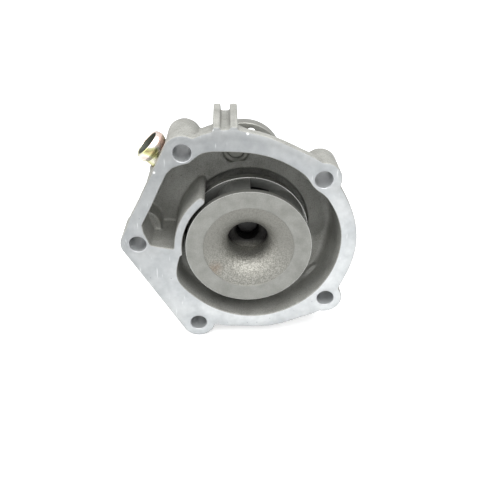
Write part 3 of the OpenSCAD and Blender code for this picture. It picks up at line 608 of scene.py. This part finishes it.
NODE_FINISHES: dict[str, Finish] = {
    "spindle": DARK_ENDED_STEEL,
    "bearing_ring": BEARING_STEEL,
    "front_balls": BALL_STEEL,
    "rear_balls": BALL_STEEL,
    "front_cage": NYLON,
    "rear_cage": NYLON,
    "front_bearing_seal": RUBBER,
    "rear_bearing_seal": RUBBER,
    "snap_ring": SPRING_STEEL,
    "seal_case": BRASS,
    "seal_bellows": RUBBER,
    "bellows_ferrule": BRASS,
    "seal_spring": SPRING_STEEL,
    "carbon_ring": CARBON,
    "seal_seat": CERAMIC,
    "seat_cup": RUBBER,
    "slinger": RUBBER,
}


# Mesh helpers


def spun(profile: Profile, steps: int, closed: bool = True) -> bmesh.types.BMesh:
    """Spins a profile about the shaft line.

    Args:
        profile: points of (radius, depth), with the metal on the left hand of a closed one.
        steps: how many steps a full turn takes.
        closed: whether the last point joins the first.

    Returns:
        The turned mesh, with its normals outwards.
    """
    bm = bmesh.new()
    points = [bm.verts.new((r, depth, 0.0)) for r, depth in profile]
    ends = points[1:] + points[:1] if closed else points[1:]
    lines = [bm.edges.new(pair) for pair in zip(points, ends)]
    bmesh.ops.spin(
        bm, geom=points + lines, cent=(0, 0, 0), axis=SHAFT, dvec=(0, 0, 0), angle=FULL_TURN, steps=steps,
        use_merge=True,
    )
    bmesh.ops.remove_doubles(bm, verts=bm.verts, dist=SAME_PLACE)
    bmesh.ops.recalc_face_normals(bm, faces=bm.faces)
    return bm


def soften(bm: bmesh.types.BMesh, offset: float, segments: int, sharper_than: float) -> None:
    """Rounds every edge that turns more sharply than an angle.

    Args:
        bm: the mesh.
        offset: width of the rounding.
        segments: faces across it.
        sharper_than: angle between two faces, in radians.
    """
    sharp = [e for e in bm.edges if e.is_manifold and e.calc_face_angle(0.0) > sharper_than]
    bmesh.ops.bevel(
        bm, geom=sharp, offset=offset, segments=segments, profile=0.5, affect="EDGES", material=-1,
        clamp_overlap=True,
    )


def merged_copy(nodes: Iterable[str]) -> bmesh.types.BMesh:
    """Copies the shapes of some CAD nodes into one mesh and joins up their loose triangles.

    Args:
        nodes: names of the CAD nodes.

    Returns:
        The mesh, in the part's frame.
    """
    bm = bmesh.new()
    for name in nodes:
        bm.from_mesh(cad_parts[name].data)
    bmesh.ops.remove_doubles(bm, verts=bm.verts, dist=CAD_SEAM)
    return bm


def finished(
    bm: bmesh.types.BMesh, name: str, finishes: Sequence[Finish], shading: Shading
) -> bpy.types.Object:
    """Turns a mesh into a piece with its finishes.

    Args:
        bm: the mesh, which is freed.
        name: name of the piece.
        finishes: its finishes, in the order of its faces' material numbers.
        shading: which edges stay sharp.

    Returns:
        The new object, at the origin.
    """
    mesh = bpy.data.meshes.new(name)
    bm.to_mesh(mesh)
    bm.free()
    for finish in finishes:
        mesh.materials.append(finish.material())
    mesh.shade_smooth()
    mesh.set_sharp_from_angle(angle=shading.value)
    made = bpy.data.objects.new(name, mesh)
    bpy.context.scene.collection.objects.link(made)
    return made


def modified(bm: bmesh.types.BMesh, kind: str, **settings: object) -> bmesh.types.BMesh:
    """Runs one modifier over a mesh.

    Args:
        bm: the mesh, which is freed.
        kind: the modifier's type.
        settings: its properties.

    Returns:
        The mesh that the modifier gives.
    """
    before = bpy.data.meshes.new("before")
    bm.to_mesh(before)
    bm.free()
    holder = bpy.data.objects.new("holder", before)
    bpy.context.scene.collection.objects.link(holder)
    modifier = holder.modifiers.new(kind, kind)
    for name, value in settings.items():
        setattr(modifier, name, value)
    seen = holder.evaluated_get(bpy.context.evaluated_depsgraph_get())
    after = bmesh.new()
    after.from_mesh(seen.to_mesh())
    seen.to_mesh_clear()
    bpy.data.objects.remove(holder)
    bpy.data.meshes.remove(before)
    return after


# Pieces


class CastingFace(IntEnum):
    """What was done to a face of the housing, in the order of its finishes."""

    AS_CAST = 0
    MILLED = 1
    BORED = 2


@dataclass
class Housing:
    """The cast housing: its skin is softened as a casting's is, then its face is milled flat."""

    nodes: tuple[str, ...] = ("pump_housing", "bolt_lobes")
    voxel: float = 0.5 * MM
    quick_voxel: float = 1.0 * MM
    face_stock: float = 1.3 * MM
    smooth_rounds: int = 5
    smooth_factor: float = 0.5
    most_triangles: int = 190_000
    face_chamfer: float = 0.3 * MM
    # A face belongs to the milled plane when it is this flat on it and looks this squarely to the front
    flatness: float = 0.01 * MM
    squareness: float = 0.9
    # The turned recess round the impeller, of which only the lip is cut
    recess_radius: float = 33.4 * MM
    recess_reach: float = 0.35 * MM
    recess_lip: float = 3.0 * MM
    recess_end: float = 30.0 * MM
    bore_radius: float = 19.2 * MM
    bolt_radius: float = 4.5 * MM
    bolt_reach: float = 0.45 * MM
    bolt_places_mm: tuple[tuple[float, float], ...] = (
        (-31.788, 53.114), (36.2, 38.82), (-56.708, 3.468), (-27.324, -47.519), (41.686, -31.756),
    )

    def rough_casting(self) -> bmesh.types.BMesh:
        """Makes the casting before milling: stock on its face and rounded edges.

        Returns:
            The casting's mesh.
        """
        bm = merged_copy(self.nodes)
        front = [v for v in bm.verts if v.co.y < self.flatness]
        bmesh.ops.translate(bm, verts=front, vec=(0, -self.face_stock, 0))
        voxel = self.voxel
        bm = modified(bm, "REMESH", mode="VOXEL", voxel_size=voxel)
        for _ in range(self.smooth_rounds):
            bmesh.ops.smooth_vert(
                bm, verts=bm.verts, factor=self.smooth_factor,
                use_axis_x=True, use_axis_y=True, use_axis_z=True,
            )
        bmesh.ops.triangulate(bm, faces=bm.faces)
        share = self.most_triangles / len(bm.faces)
        return modified(bm, "DECIMATE", ratio=share) if share < 1 else bm

    def mill_face(self, bm: bmesh.types.BMesh) -> None:
        """Cuts the stock off at the mounting face, breaks the edge and closes the cut with one flat face.

        Args:
            bm: the casting's mesh.
        """
        for depth, cut_off in ((self.face_chamfer, False), (0.0, True)):
            cut = bmesh.ops.bisect_plane(
                bm, geom=[*bm.verts, *bm.edges, *bm.faces], dist=SAME_PLACE, plane_co=SHAFT * depth,
                plane_no=-SHAFT, clear_outer=cut_off,
            )
        bm.normal_update()
        rim = [g for g in cut["geom_cut"] if isinstance(g, bmesh.types.BMEdge)]
        moves = {}
        for vert in {v for edge in rim for v in edge.verts}:
            outwards = sum((face.normal for face in vert.link_faces), Vector())
            outwards.y = 0
            moves[vert] = outwards.normalized() * -self.face_chamfer
        for vert, move in moves.items():
            vert.co += move
        bmesh.ops.triangle_fill(bm, use_beauty=True, use_dissolve=False, edges=rim, normal=-SHAFT)

    def is_bored(self, middle: Vector) -> bool:
        """Tells whether a face is on one of the holes that are bored, drilled or turned.

        Args:
            middle: the face's middle.

        Returns:
            True on such a hole.
        """
        from_axis = math.hypot(middle.x, middle.z)
        if middle.y < self.recess_end and abs(from_axis - self.recess_radius) < self.recess_reach:
            return middle.y < self.recess_lip
        if middle.y > self.recess_end and from_axis < self.bore_radius:
            return True
        reach = self.bolt_radius + self.bolt_reach
        return any(math.hypot(middle.x - x * MM, middle.z - z * MM) < reach for x, z in self.bolt_places_mm)

    def face_kind(self, face: bmesh.types.BMFace) -> CastingFace:
        """Finds what was done to a face.

        Args:
            face: a face of the milled casting.

        Returns:
            Its kind.
        """
        middle = face.calc_center_median()
        if middle.y < self.flatness and face.normal.y < -self.squareness:
            return CastingFace.MILLED
        return CastingFace.BORED if self.is_bored(middle) else CastingFace.AS_CAST

    def build(self) -> bpy.types.Object:
        """Builds the housing and gives its milled, bored and cast faces their finishes.

        Returns:
            The housing.
        """
        bm = self.rough_casting()
        self.mill_face(bm)
        bm.normal_update()
        for face in bm.faces:
            face.material_index = self.face_kind(face).value
        made = finished(bm, "cast_housing", (CAST_SKIN, MILLED_FACE, BORED), Shading.CAST)
        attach(made, Body.HOUSING.value)
        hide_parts(*self.nodes)
        return made


class IronFace(IntEnum):
    """What a face of the impeller looks like, in the order of its finishes."""

    TURNED = 0
    AS_CAST = 1
    SHADED_RIM = 2
    PASSAGE = 3
    HIGHLIGHTED_CORNER = 4


@dataclass
class Impeller:
    """The closed impeller: a rough cast funnel and vanes between two shrouds with turned rims."""

    radius: float = 32.5 * MM
    front: float = 0.4 * MM
    front_shroud: float = 3.3 * MM
    outlet: float = 13.6 * MM
    back_shroud: float = 4.6 * MM
    eye_radius: float = 10.75 * MM
    funnel_radius: float = 23.5 * MM
    funnel_depth: float = 11.6 * MM
    funnel_step: float = 0.35 * MM
    funnel_rings: int = 46
    face_rings: int = 8
    throat_length: float = 8.0 * MM
    inner_radius: float = 26.9 * MM
    floor_drop: float = 2.0 * MM
    hub_radius: float = 11.0 * MM
    hub_length: float = 14.0 * MM
    bore_radius: float = 6.35 * MM
    bore_chamfer: float = 1.0 * MM
    corner: float = 0.32 * MM
    corner_segments: int = 2
    # Shares of a corner: where it is painted bright as a highlight, down to the rim, and where its turning
    # ends
    highlight_share: float = 0.9
    rim_share: float = 0.05
    turned_share: float = 1.2
    shroud_sharpness: float = math.radians(50)
    vane_sharpness: float = math.radians(60)
    vane_count: int = 6
    vane_thickness: float = 3.8 * MM
    vane_sweep: float = math.radians(72)
    vane_phase: float = math.radians(97.3)
    vane_curl: float = 1.3
    vane_cells: tuple[int, int] = (24, 8)
    steps: int = 288
    # Lumps of the moulding sand in the funnel, which fade out at its turned edge
    roughness: float = 0.13 * MM
    lump_mm: float = 1.6
    small_lump_mm: float = 0.8
    small_lump_share: float = 0.6
    lump_clearance: float = 4.0
    smooth_edge: float = 0.2 * MM
    smooth_fade: float = 2.0 * MM

    def funnel_bend(self, share: float) -> float:
        """Depth of the funnel's wall where the cosine of its bend is share."""
        return self.front + self.funnel_depth - (self.funnel_depth - self.funnel_step) * share

    def funnel_wall(self, r: float) -> float:
        """Depth of the funnel's wall at a radius."""
        s = min(1.0, max(0.0, (self.funnel_radius - r) / (self.funnel_radius - self.eye_radius)))
        return self.funnel_bend(math.sqrt(1 - s * s))

    def funnel(self) -> list[tuple[float, float]]:
        """Draws the bell-mouthed funnel.

        Returns:
            Its points from the turned ring to the eye.
        """
        points = []
        for i in range(self.funnel_rings + 1):
            a = math.pi / 2 * i / self.funnel_rings
            r = self.funnel_radius - (self.funnel_radius - self.eye_radius) * math.sin(a)
            points.append((r, self.funnel_bend(math.cos(a))))
        return points

    def front_profile(self) -> list[tuple[float, float]]:
        """Draws the section of the front shroud.

        Returns:
            Its points of (radius, depth).
        """
        back = self.front + self.front_shroud
        eye_end = self.front + self.funnel_depth + self.throat_length
        middle = (self.eye_radius + self.funnel_radius) / 2 + self.front_shroud
        ring = self.radius - self.funnel_radius
        count = self.face_rings
        face = [(self.funnel_radius + ring * i / count, self.front) for i in range(count + 1)]
        return [
            *reversed(face),
            *self.funnel(),
            (self.eye_radius, eye_end - self.front_shroud / 4),
            (self.eye_radius + self.front_shroud / 2, eye_end),
            (middle, self.front + self.funnel_depth / 2 + self.front_shroud / 2),
            (self.inner_radius, back),
            (self.radius, back),
        ]

    def back_profile(self) -> list[tuple[float, float]]:
        """Draws the section of the back shroud and its hub.

        Returns:
            Its points of (radius, depth).
        """
        rim = self.front + self.front_shroud + self.outlet
        floor = rim + self.floor_drop
        back = rim + self.back_shroud
        return [
            (self.bore_radius, floor + self.bore_chamfer),
            (self.bore_radius + self.bore_chamfer, floor),
            (self.eye_radius + self.front_shroud / 3, floor),
            (self.inner_radius, floor),
            (self.inner_radius, rim),
            (self.radius, rim),
            (self.radius, back),
            (self.hub_radius, back),
            (self.hub_radius, back + self.hub_length),
            (self.bore_radius, back + self.hub_length),
        ]

    def roughen(self, bm: bmesh.types.BMesh) -> None:
        """Moves the funnel's surface in and out as coarse moulding sand does.

        Args:
            bm: the front shroud's mesh.
        """
        edge = self.funnel_radius - self.smooth_edge
        bm.normal_update()
        moves = {}
        for v in bm.verts:
            r = math.hypot(v.co.x, v.co.z)
            if r > edge or v.co.y < self.front + 0.5 * self.funnel_step:
                continue
            fade = min(1.0, (edge - r) / self.smooth_fade)
            small = self.small_lump_share * noise.noise(v.co * scale_for(self.small_lump_mm))
            lump = noise.noise(v.co * scale_for(self.lump_mm)) + small
            moves[v] = v.normal * (self.roughness * fade * lump)
        for v, move in moves.items():
            v.co += move

    def vane_middle(self, share: float) -> Vector:
        """Point of a vane's middle line in the front view, from the eye at 0 to the rim at 1."""
        r = self.eye_radius + (self.radius - self.corner - self.eye_radius) * share
        a = self.vane_phase + self.vane_sweep * (1 - max(0.0, share) ** self.vane_curl)
        return Vector((r * math.cos(a), r * math.sin(a)))

    def vane_point(self, share: float, side: float) -> tuple[float, float]:
        """Finds a point of a vane in the front view.

        Args:
            share: how far it is from the eye to the rim, 0 to 1.
            side: 1 and -1 are the vane's two faces.

        Returns:
            Its x and z.
        """
        nudge = 0.01
        here = self.vane_middle(share)
        run = (self.vane_middle(share + nudge) - self.vane_middle(share - nudge)).normalized()
        across = Vector((-run.y, run.x)) * (side * self.vane_thickness / 2)
        return here.x + across.x, here.y + across.y

    def vane_end(self, side: float) -> float:
        """Finds how far along the vane a line on it meets the rim, which cuts the vane at a shallow angle.

        Args:
            side: where the line is across the vane, -1 to 1.

        Returns:
            The share of the way from the eye to the rim.
        """
        share, stride = 0.8, 0.002
        while math.hypot(*self.vane_point(share, side)) < self.radius - self.corner:
            share += stride
        return share

    def vanes(self) -> bmesh.types.BMesh:
        """Makes the vanes, each a bent bar between the shrouds.

        Returns:
            Their mesh.
        """
        bm = bmesh.new()
        along, across = self.vane_cells
        bmesh.ops.create_grid(bm, x_segments=along, y_segments=across, size=0.5)
        start = self.front + self.front_shroud / 2
        for v in bm.verts:
            side = 2 * v.co.y
            x, z = self.vane_point((v.co.x + 0.5) * self.vane_end(side), side)
            v.co = Vector((x, start, z))
        grown = bmesh.ops.extrude_face_region(bm, geom=bm.faces[:])
        tops = [g for g in grown["geom"] if isinstance(g, bmesh.types.BMVert)]
        depth = self.front_shroud / 2 + self.outlet + self.floor_drop + self.corner
        bmesh.ops.translate(bm, verts=tops, vec=(0, depth, 0))
        bmesh.ops.recalc_face_normals(bm, faces=bm.faces)
        soften(bm, self.corner, self.corner_segments, self.vane_sharpness)
        bmesh.ops.spin(
            bm, geom=[*bm.verts, *bm.edges, *bm.faces], cent=(0, 0, 0), axis=SHAFT, dvec=(0, 0, 0),
            angle=FULL_TURN * (self.vane_count - 1) / self.vane_count, steps=self.vane_count - 1,
            use_duplicate=True,
        )
        return bm

    def trim_vanes(self, bm: bmesh.types.BMesh) -> None:
        """Pulls what of a vane stands in the funnel back behind the funnel's wall.

        Args:
            bm: the vanes' mesh.
        """
        for v in bm.verts:
            r = math.hypot(v.co.x, v.co.z)
            if r < self.funnel_radius:
                v.co.y = max(v.co.y, self.funnel_wall(r) + self.front_shroud / 3)

    def face_kind(self, point: Vector) -> IronFace:
        """Finds what the impeller looks like at a point.

        Args:
            point: the middle of a face.

        Returns:
            The face's kind.
        """
        r = math.hypot(point.x, point.z)
        back = self.front + self.front_shroud
        rim = back + self.outlet
        # Painted highlight along the rims' corners
        highlight_band = self.highlight_share * self.corner
        near_corner = min(abs(point.y - self.front), abs(point.y - rim)) < highlight_band
        if near_corner and self.radius - highlight_band < r < self.radius - self.rim_share * self.corner:
            return IronFace.HIGHLIGHTED_CORNER
        if point.y < self.front + self.corner and r > self.funnel_radius - self.corner:
            return IronFace.TURNED
        # Painted shade on the outlets' rim and the vanes' ends between the shrouds
        if back + self.corner < point.y < rim + self.corner / 4 and r > self.inner_radius:
            return IronFace.SHADED_RIM
        if r > self.radius - self.turned_share * self.corner:
            return IronFace.TURNED
        # Painted shadow: the passages' faces are black
        between = back < point.y < rim + self.floor_drop + self.corner
        behind_wall = point.y > self.funnel_wall(r) + self.lump_clearance * self.roughness
        in_passage = between and r > self.eye_radius + self.front_shroud / 3 and behind_wall
        return IronFace.PASSAGE if in_passage else IronFace.AS_CAST

    def build(self) -> bpy.types.Object:
        """Builds the impeller as one piece.

        Returns:
            The impeller.
        """
        whole = spun(self.front_profile(), self.steps)
        soften(whole, self.corner, self.corner_segments, self.shroud_sharpness)
        self.roughen(whole)
        vanes = self.vanes()
        self.trim_vanes(vanes)
        back = spun(self.back_profile(), self.steps // 2)
        soften(back, self.corner, self.corner_segments, self.shroud_sharpness)
        for part in (back, vanes):
            mesh = bpy.data.meshes.new("part")
            part.to_mesh(mesh)
            part.free()
            whole.from_mesh(mesh)
            bpy.data.meshes.remove(mesh)
        for face in whole.faces:
            face.material_index = self.face_kind(face.calc_center_median()).value
        finishes = (TURNED_IRON, ROUGH_IRON, SHADED_IRON, SHADOW_BLACK_IRON, EDGE_HIGHLIGHT_IRON)
        made = finished(whole, "closed_impeller", finishes, Shading.MACHINED)
        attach(made, Body.ROTOR.value)
        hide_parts("impeller")
        return made


@dataclass
class HoseNipple:
    """The pressed tube with a rolled bead at its open end."""

    tube_radius: float = 7.3 * MM
    bore_radius: float = 6.4 * MM
    bore_reach: float = 0.1 * MM
    bead_radius: float = 8.3 * MM
    bead_length: float = 5.6 * MM
    bead_fullness: float = 0.7
    bead_rings: int = 14
    lip_rings: int = 6
    length_out: float = 14.2 * MM
    length_in: float = 1.2 * MM
    # Where the tube's axis leaves the wall, and how it turns in the front view and leans to the face
    wall_point: tuple[float, float, float] = (-39.864 * MM, 16.3 * MM, 42.452 * MM)
    turn: float = math.radians(135)
    lean: float = math.radians(-4)
    steps: int = 128

    def profile(self) -> list[tuple[float, float]]:
        """Draws the section of the tube: straight neck, rolled bead, rounded lip and bore.

        Returns:
            Its points of (radius, distance from the wall).
        """
        start = self.length_out - self.bead_length
        bump = self.bead_radius - self.tube_radius
        bead = []
        for i in range(self.bead_rings):
            along = i / self.bead_rings
            swell = bump * math.sin(math.pi * along) ** self.bead_fullness
            bead.append((self.tube_radius + swell, start + self.bead_length * along))
        half = (self.tube_radius - self.bore_radius) / 2
        lip = []
        for i in range(self.lip_rings + 1):
            a = math.pi * i / self.lip_rings
            across, along = half * math.cos(a), half * math.sin(a)
            lip.append((self.tube_radius - half + across, self.length_out - half + along))
        return [(self.bore_radius, -self.length_in), (self.tube_radius, -self.length_in), *bead, *lip]

    def place(self) -> Matrix:
        """Finds where the tube's own axis, drawn along the shaft line, comes to lie.

        Returns:
            The move and turn from there.
        """
        along = Vector((
            math.cos(self.turn) * math.cos(self.lean),
            math.sin(self.lean),
            math.sin(self.turn) * math.cos(self.lean),
        ))
        return Matrix.Translation(self.wall_point) @ SHAFT.rotation_difference(along).to_matrix().to_4x4()

    def build(self) -> bpy.types.Object:
        """Builds the tube in its place.

        Returns:
            The tube.
        """
        bm = spun(self.profile(), self.steps)
        inner = self.bore_radius + self.bore_reach
        for face in bm.faces:
            middle = face.calc_center_median()
            face.material_index = int(math.hypot(middle.x, middle.z) < inner)
        bmesh.ops.transform(bm, matrix=self.place(), verts=bm.verts)
        made = finished(bm, "hose_tube", (ZINC, TUBE_BORE), Shading.MACHINED)
        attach(made, Body.HOUSING.value)
        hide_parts("hose_nipple")
        return made


@dataclass
class CorePlug:
    """The round plug in the chamber's back wall, with a raised middle."""

    radius: float = 7.0 * MM
    pad_radius: float = 4.1 * MM
    dish: float = 1.3 * MM
    start: float = 28.0 * MM
    length: float = 4.0 * MM
    place: tuple[float, float] = (-6.04 * MM, 42.978 * MM)
    corner: float = 0.35 * MM
    corner_segments: int = 3
    sharpness: float = math.radians(25)
    steps: int = 96

    def build(self) -> bpy.types.Object:
        """Builds the plug in its place.

        Returns:
            The plug.
        """
        half = self.dish / 2
        profile = [
            (0.0, self.start),
            (self.pad_radius, self.start),
            (self.pad_radius + half, self.start + self.dish),
            (self.radius - half, self.start + self.dish),
            (self.radius, self.start + half),
            (self.radius, self.start + self.length),
            (0.0, self.start + self.length),
        ]
        bm = spun(profile, self.steps, closed=False)
        soften(bm, self.corner, self.corner_segments, self.sharpness)
        bmesh.ops.translate(bm, verts=bm.verts, vec=(self.place[0], 0, self.place[1]))
        made = finished(bm, "core_plug_disc", (DULL_STEEL,), Shading.CAST)
        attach(made, Body.HOUSING.value)
        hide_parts("core_plug")
        return made


@dataclass
class Hub:
    """The hub for the fan and pulley, with its edges broken."""

    corner: float = 0.45 * MM
    corner_segments: int = 3
    sharpness: float = math.radians(40)
    flat_within: float = math.radians(1)
    rim_radius: float = 25.0 * MM
    squareness: float = 0.9

    def build(self) -> bpy.types.Object:
        """Builds the hub from its CAD shape.

        Returns:
            The hub.
        """
        bm = merged_copy(["hub_flange"])
        bmesh.ops.dissolve_limit(bm, angle_limit=self.flat_within, verts=bm.verts, edges=bm.edges)
        soften(bm, self.corner, self.corner_segments, self.sharpness)
        bm.normal_update()
        for face in bm.faces:
            middle = face.calc_center_median()
            turned = math.hypot(middle.x, middle.z) > self.rim_radius or abs(face.normal.y) > self.squareness
            face.material_index = 0 if turned else 1
        made = finished(bm, "fan_hub", (TURNED_IRON, ROUGH_IRON), Shading.MACHINED)
        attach(made, Body.ROTOR.value)
        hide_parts("hub_flange")
        return made


def dress_nodes() -> int:
    """Gives each carried-over CAD node its finish.

    Returns:
        How many there are.
    """
    for name, finish in NODE_FINISHES.items():
        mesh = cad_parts[name].data
        mesh.materials.clear()
        mesh.materials.append(finish.material())
    return len(NODE_FINISHES)


# Stage


@dataclass(frozen=True)
class SoftBox:
    """A square lamp that points at the object: where it hangs, its side in metres and its power in watts."""

    name: str
    place: tuple[float, float, float]
    size: float
    power: float

    def hang(self) -> None:
        """Hangs the lamp."""
        data = bpy.data.lights.new(self.name, "AREA")
        data.shape, data.size, data.energy = "SQUARE", self.size, self.power
        made = bpy.data.objects.new(self.name, data)
        made.location = self.place
        made.rotation_euler = (-Vector(self.place)).to_track_quat("-Z", "Y").to_euler()
        bpy.context.scene.collection.objects.link(made)


@dataclass
class Studio:
    """A white table under soft light, with the camera where the photograph was taken from."""

    floor_height: float = -56.6 * MM
    floor_size: float = 6.0
    floor_colour: str = "#d4d5d6"
    floor_glow: float = 0.62
    camera_place: tuple[float, float, float] = (-9.63 * MM, -264.76 * MM, 164.74 * MM)
    camera_target: tuple[float, float, float] = (-4.5 * MM, 0.0, 5.5 * MM)
    lens_mm: float = 45.45
    sensor_mm: float = 36.0
    sees_from_to: tuple[float, float] = (0.01, 50.0)
    sky: float = 0.54
    sky_colour: str = "#f6f7f8"
    white: str = "#ffffff"
    lamps: tuple[SoftBox, ...] = (
        SoftBox("soft_box_above", (0.05, -0.25, 0.72), 1.0, 14.5),
        SoftBox("soft_box_left", (-0.7, -0.15, 0.3), 0.6, 3.0),
    )

    def camera(self) -> None:
        """Sets up the camera."""
        data = bpy.data.cameras.new("camera")
        data.sensor_width = self.sensor_mm
        data.lens = self.lens_mm
        data.clip_start, data.clip_end = self.sees_from_to
        made = bpy.data.objects.new("camera", data)
        made.location = self.camera_place
        look = Vector(self.camera_target) - made.location
        made.rotation_euler = look.to_track_quat("-Z", "Y").to_euler()
        bpy.context.scene.collection.objects.link(made)
        bpy.context.scene.camera = made

    def seen_by(self, tree: bpy.types.NodeTree, rays: Iterable[str]) -> object:
        """Tells apart the rays that see the background white.

        Args:
            tree: the tree of the floor or the world.
            rays: kinds of ray, such as "Camera".

        Returns:
            What gives 1 for these rays and 0 for all others.
        """
        path = add(tree, "ShaderNodeLightPath")
        seen: object = 0.0
        for kind in rays:
            seen = add(tree, "ShaderNodeMath", (seen, path.outputs[f"Is {kind} Ray"]), operation="MAXIMUM")
        return seen

    def floor(self) -> None:
        """Lays the white floor, which shows the object's shadow."""
        bm = bmesh.new()
        bmesh.ops.create_grid(bm, x_segments=1, y_segments=1, size=self.floor_size / 2)
        bmesh.ops.translate(bm, verts=bm.verts, vec=(0, 0, self.floor_height))
        material = bpy.data.materials.new("white table")
        material.use_nodes = True
        tree = material.node_tree
        tree.nodes.clear()
        paint = add(tree, "ShaderNodeBsdfDiffuse", {"Color": srgb(self.floor_colour)})
        glow = add(tree, "ShaderNodeEmission", {"Color": srgb(self.white), "Strength": self.floor_glow})
        lit = add(tree, "ShaderNodeAddShader", (paint, glow))
        surface = add(tree, "ShaderNodeMixShader", (self.seen_by(tree, ("Camera",)), paint, lit))
        add(tree, "ShaderNodeOutputMaterial", {"Surface": surface})
        mesh = bpy.data.meshes.new("table")
        bm.to_mesh(mesh)
        bm.free()
        mesh.materials.append(material)
        made = bpy.data.objects.new("table", mesh)
        bpy.context.scene.collection.objects.link(made)

    def world(self) -> None:
        """Surrounds the object with soft even light and a white background."""
        world = bpy.data.worlds.new("studio")
        world.use_nodes = True
        tree = world.node_tree
        tree.nodes.clear()
        soft = add(tree, "ShaderNodeBackground", {"Color": srgb(self.sky_colour), "Strength": self.sky})
        white = add(tree, "ShaderNodeBackground", {"Color": srgb(self.white), "Strength": 1.0})
        surface = add(tree, "ShaderNodeMixShader", (self.seen_by(tree, ("Camera", "Glossy")), soft, white))
        add(tree, "ShaderNodeOutputWorld", {"Surface": surface})
        bpy.context.scene.world = world

    def build(self) -> None:
        """Sets up camera, floor, world and lamps."""
        self.camera()
        self.floor()
        self.world()
        for lamp in self.lamps:
            lamp.hang()
        settings = bpy.context.scene.view_settings
        settings.view_transform = "Standard"


def main() -> None:
    """Builds the pieces in order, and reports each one."""
    logging.basicConfig(level=logging.INFO, format="%(name)s: %(message)s")
    Studio().build()
    for part in (Housing(), Impeller(), HoseNipple(), CorePlug(), Hub()):
        made = part.build()
        triangles = sum(len(face.vertices) - 2 for face in made.data.polygons)
        LOG.info("%s: %d triangles", made.name, triangles)
    LOG.info("CAD nodes dressed: %d", dress_nodes())


if __name__ == "__main__":
    main()
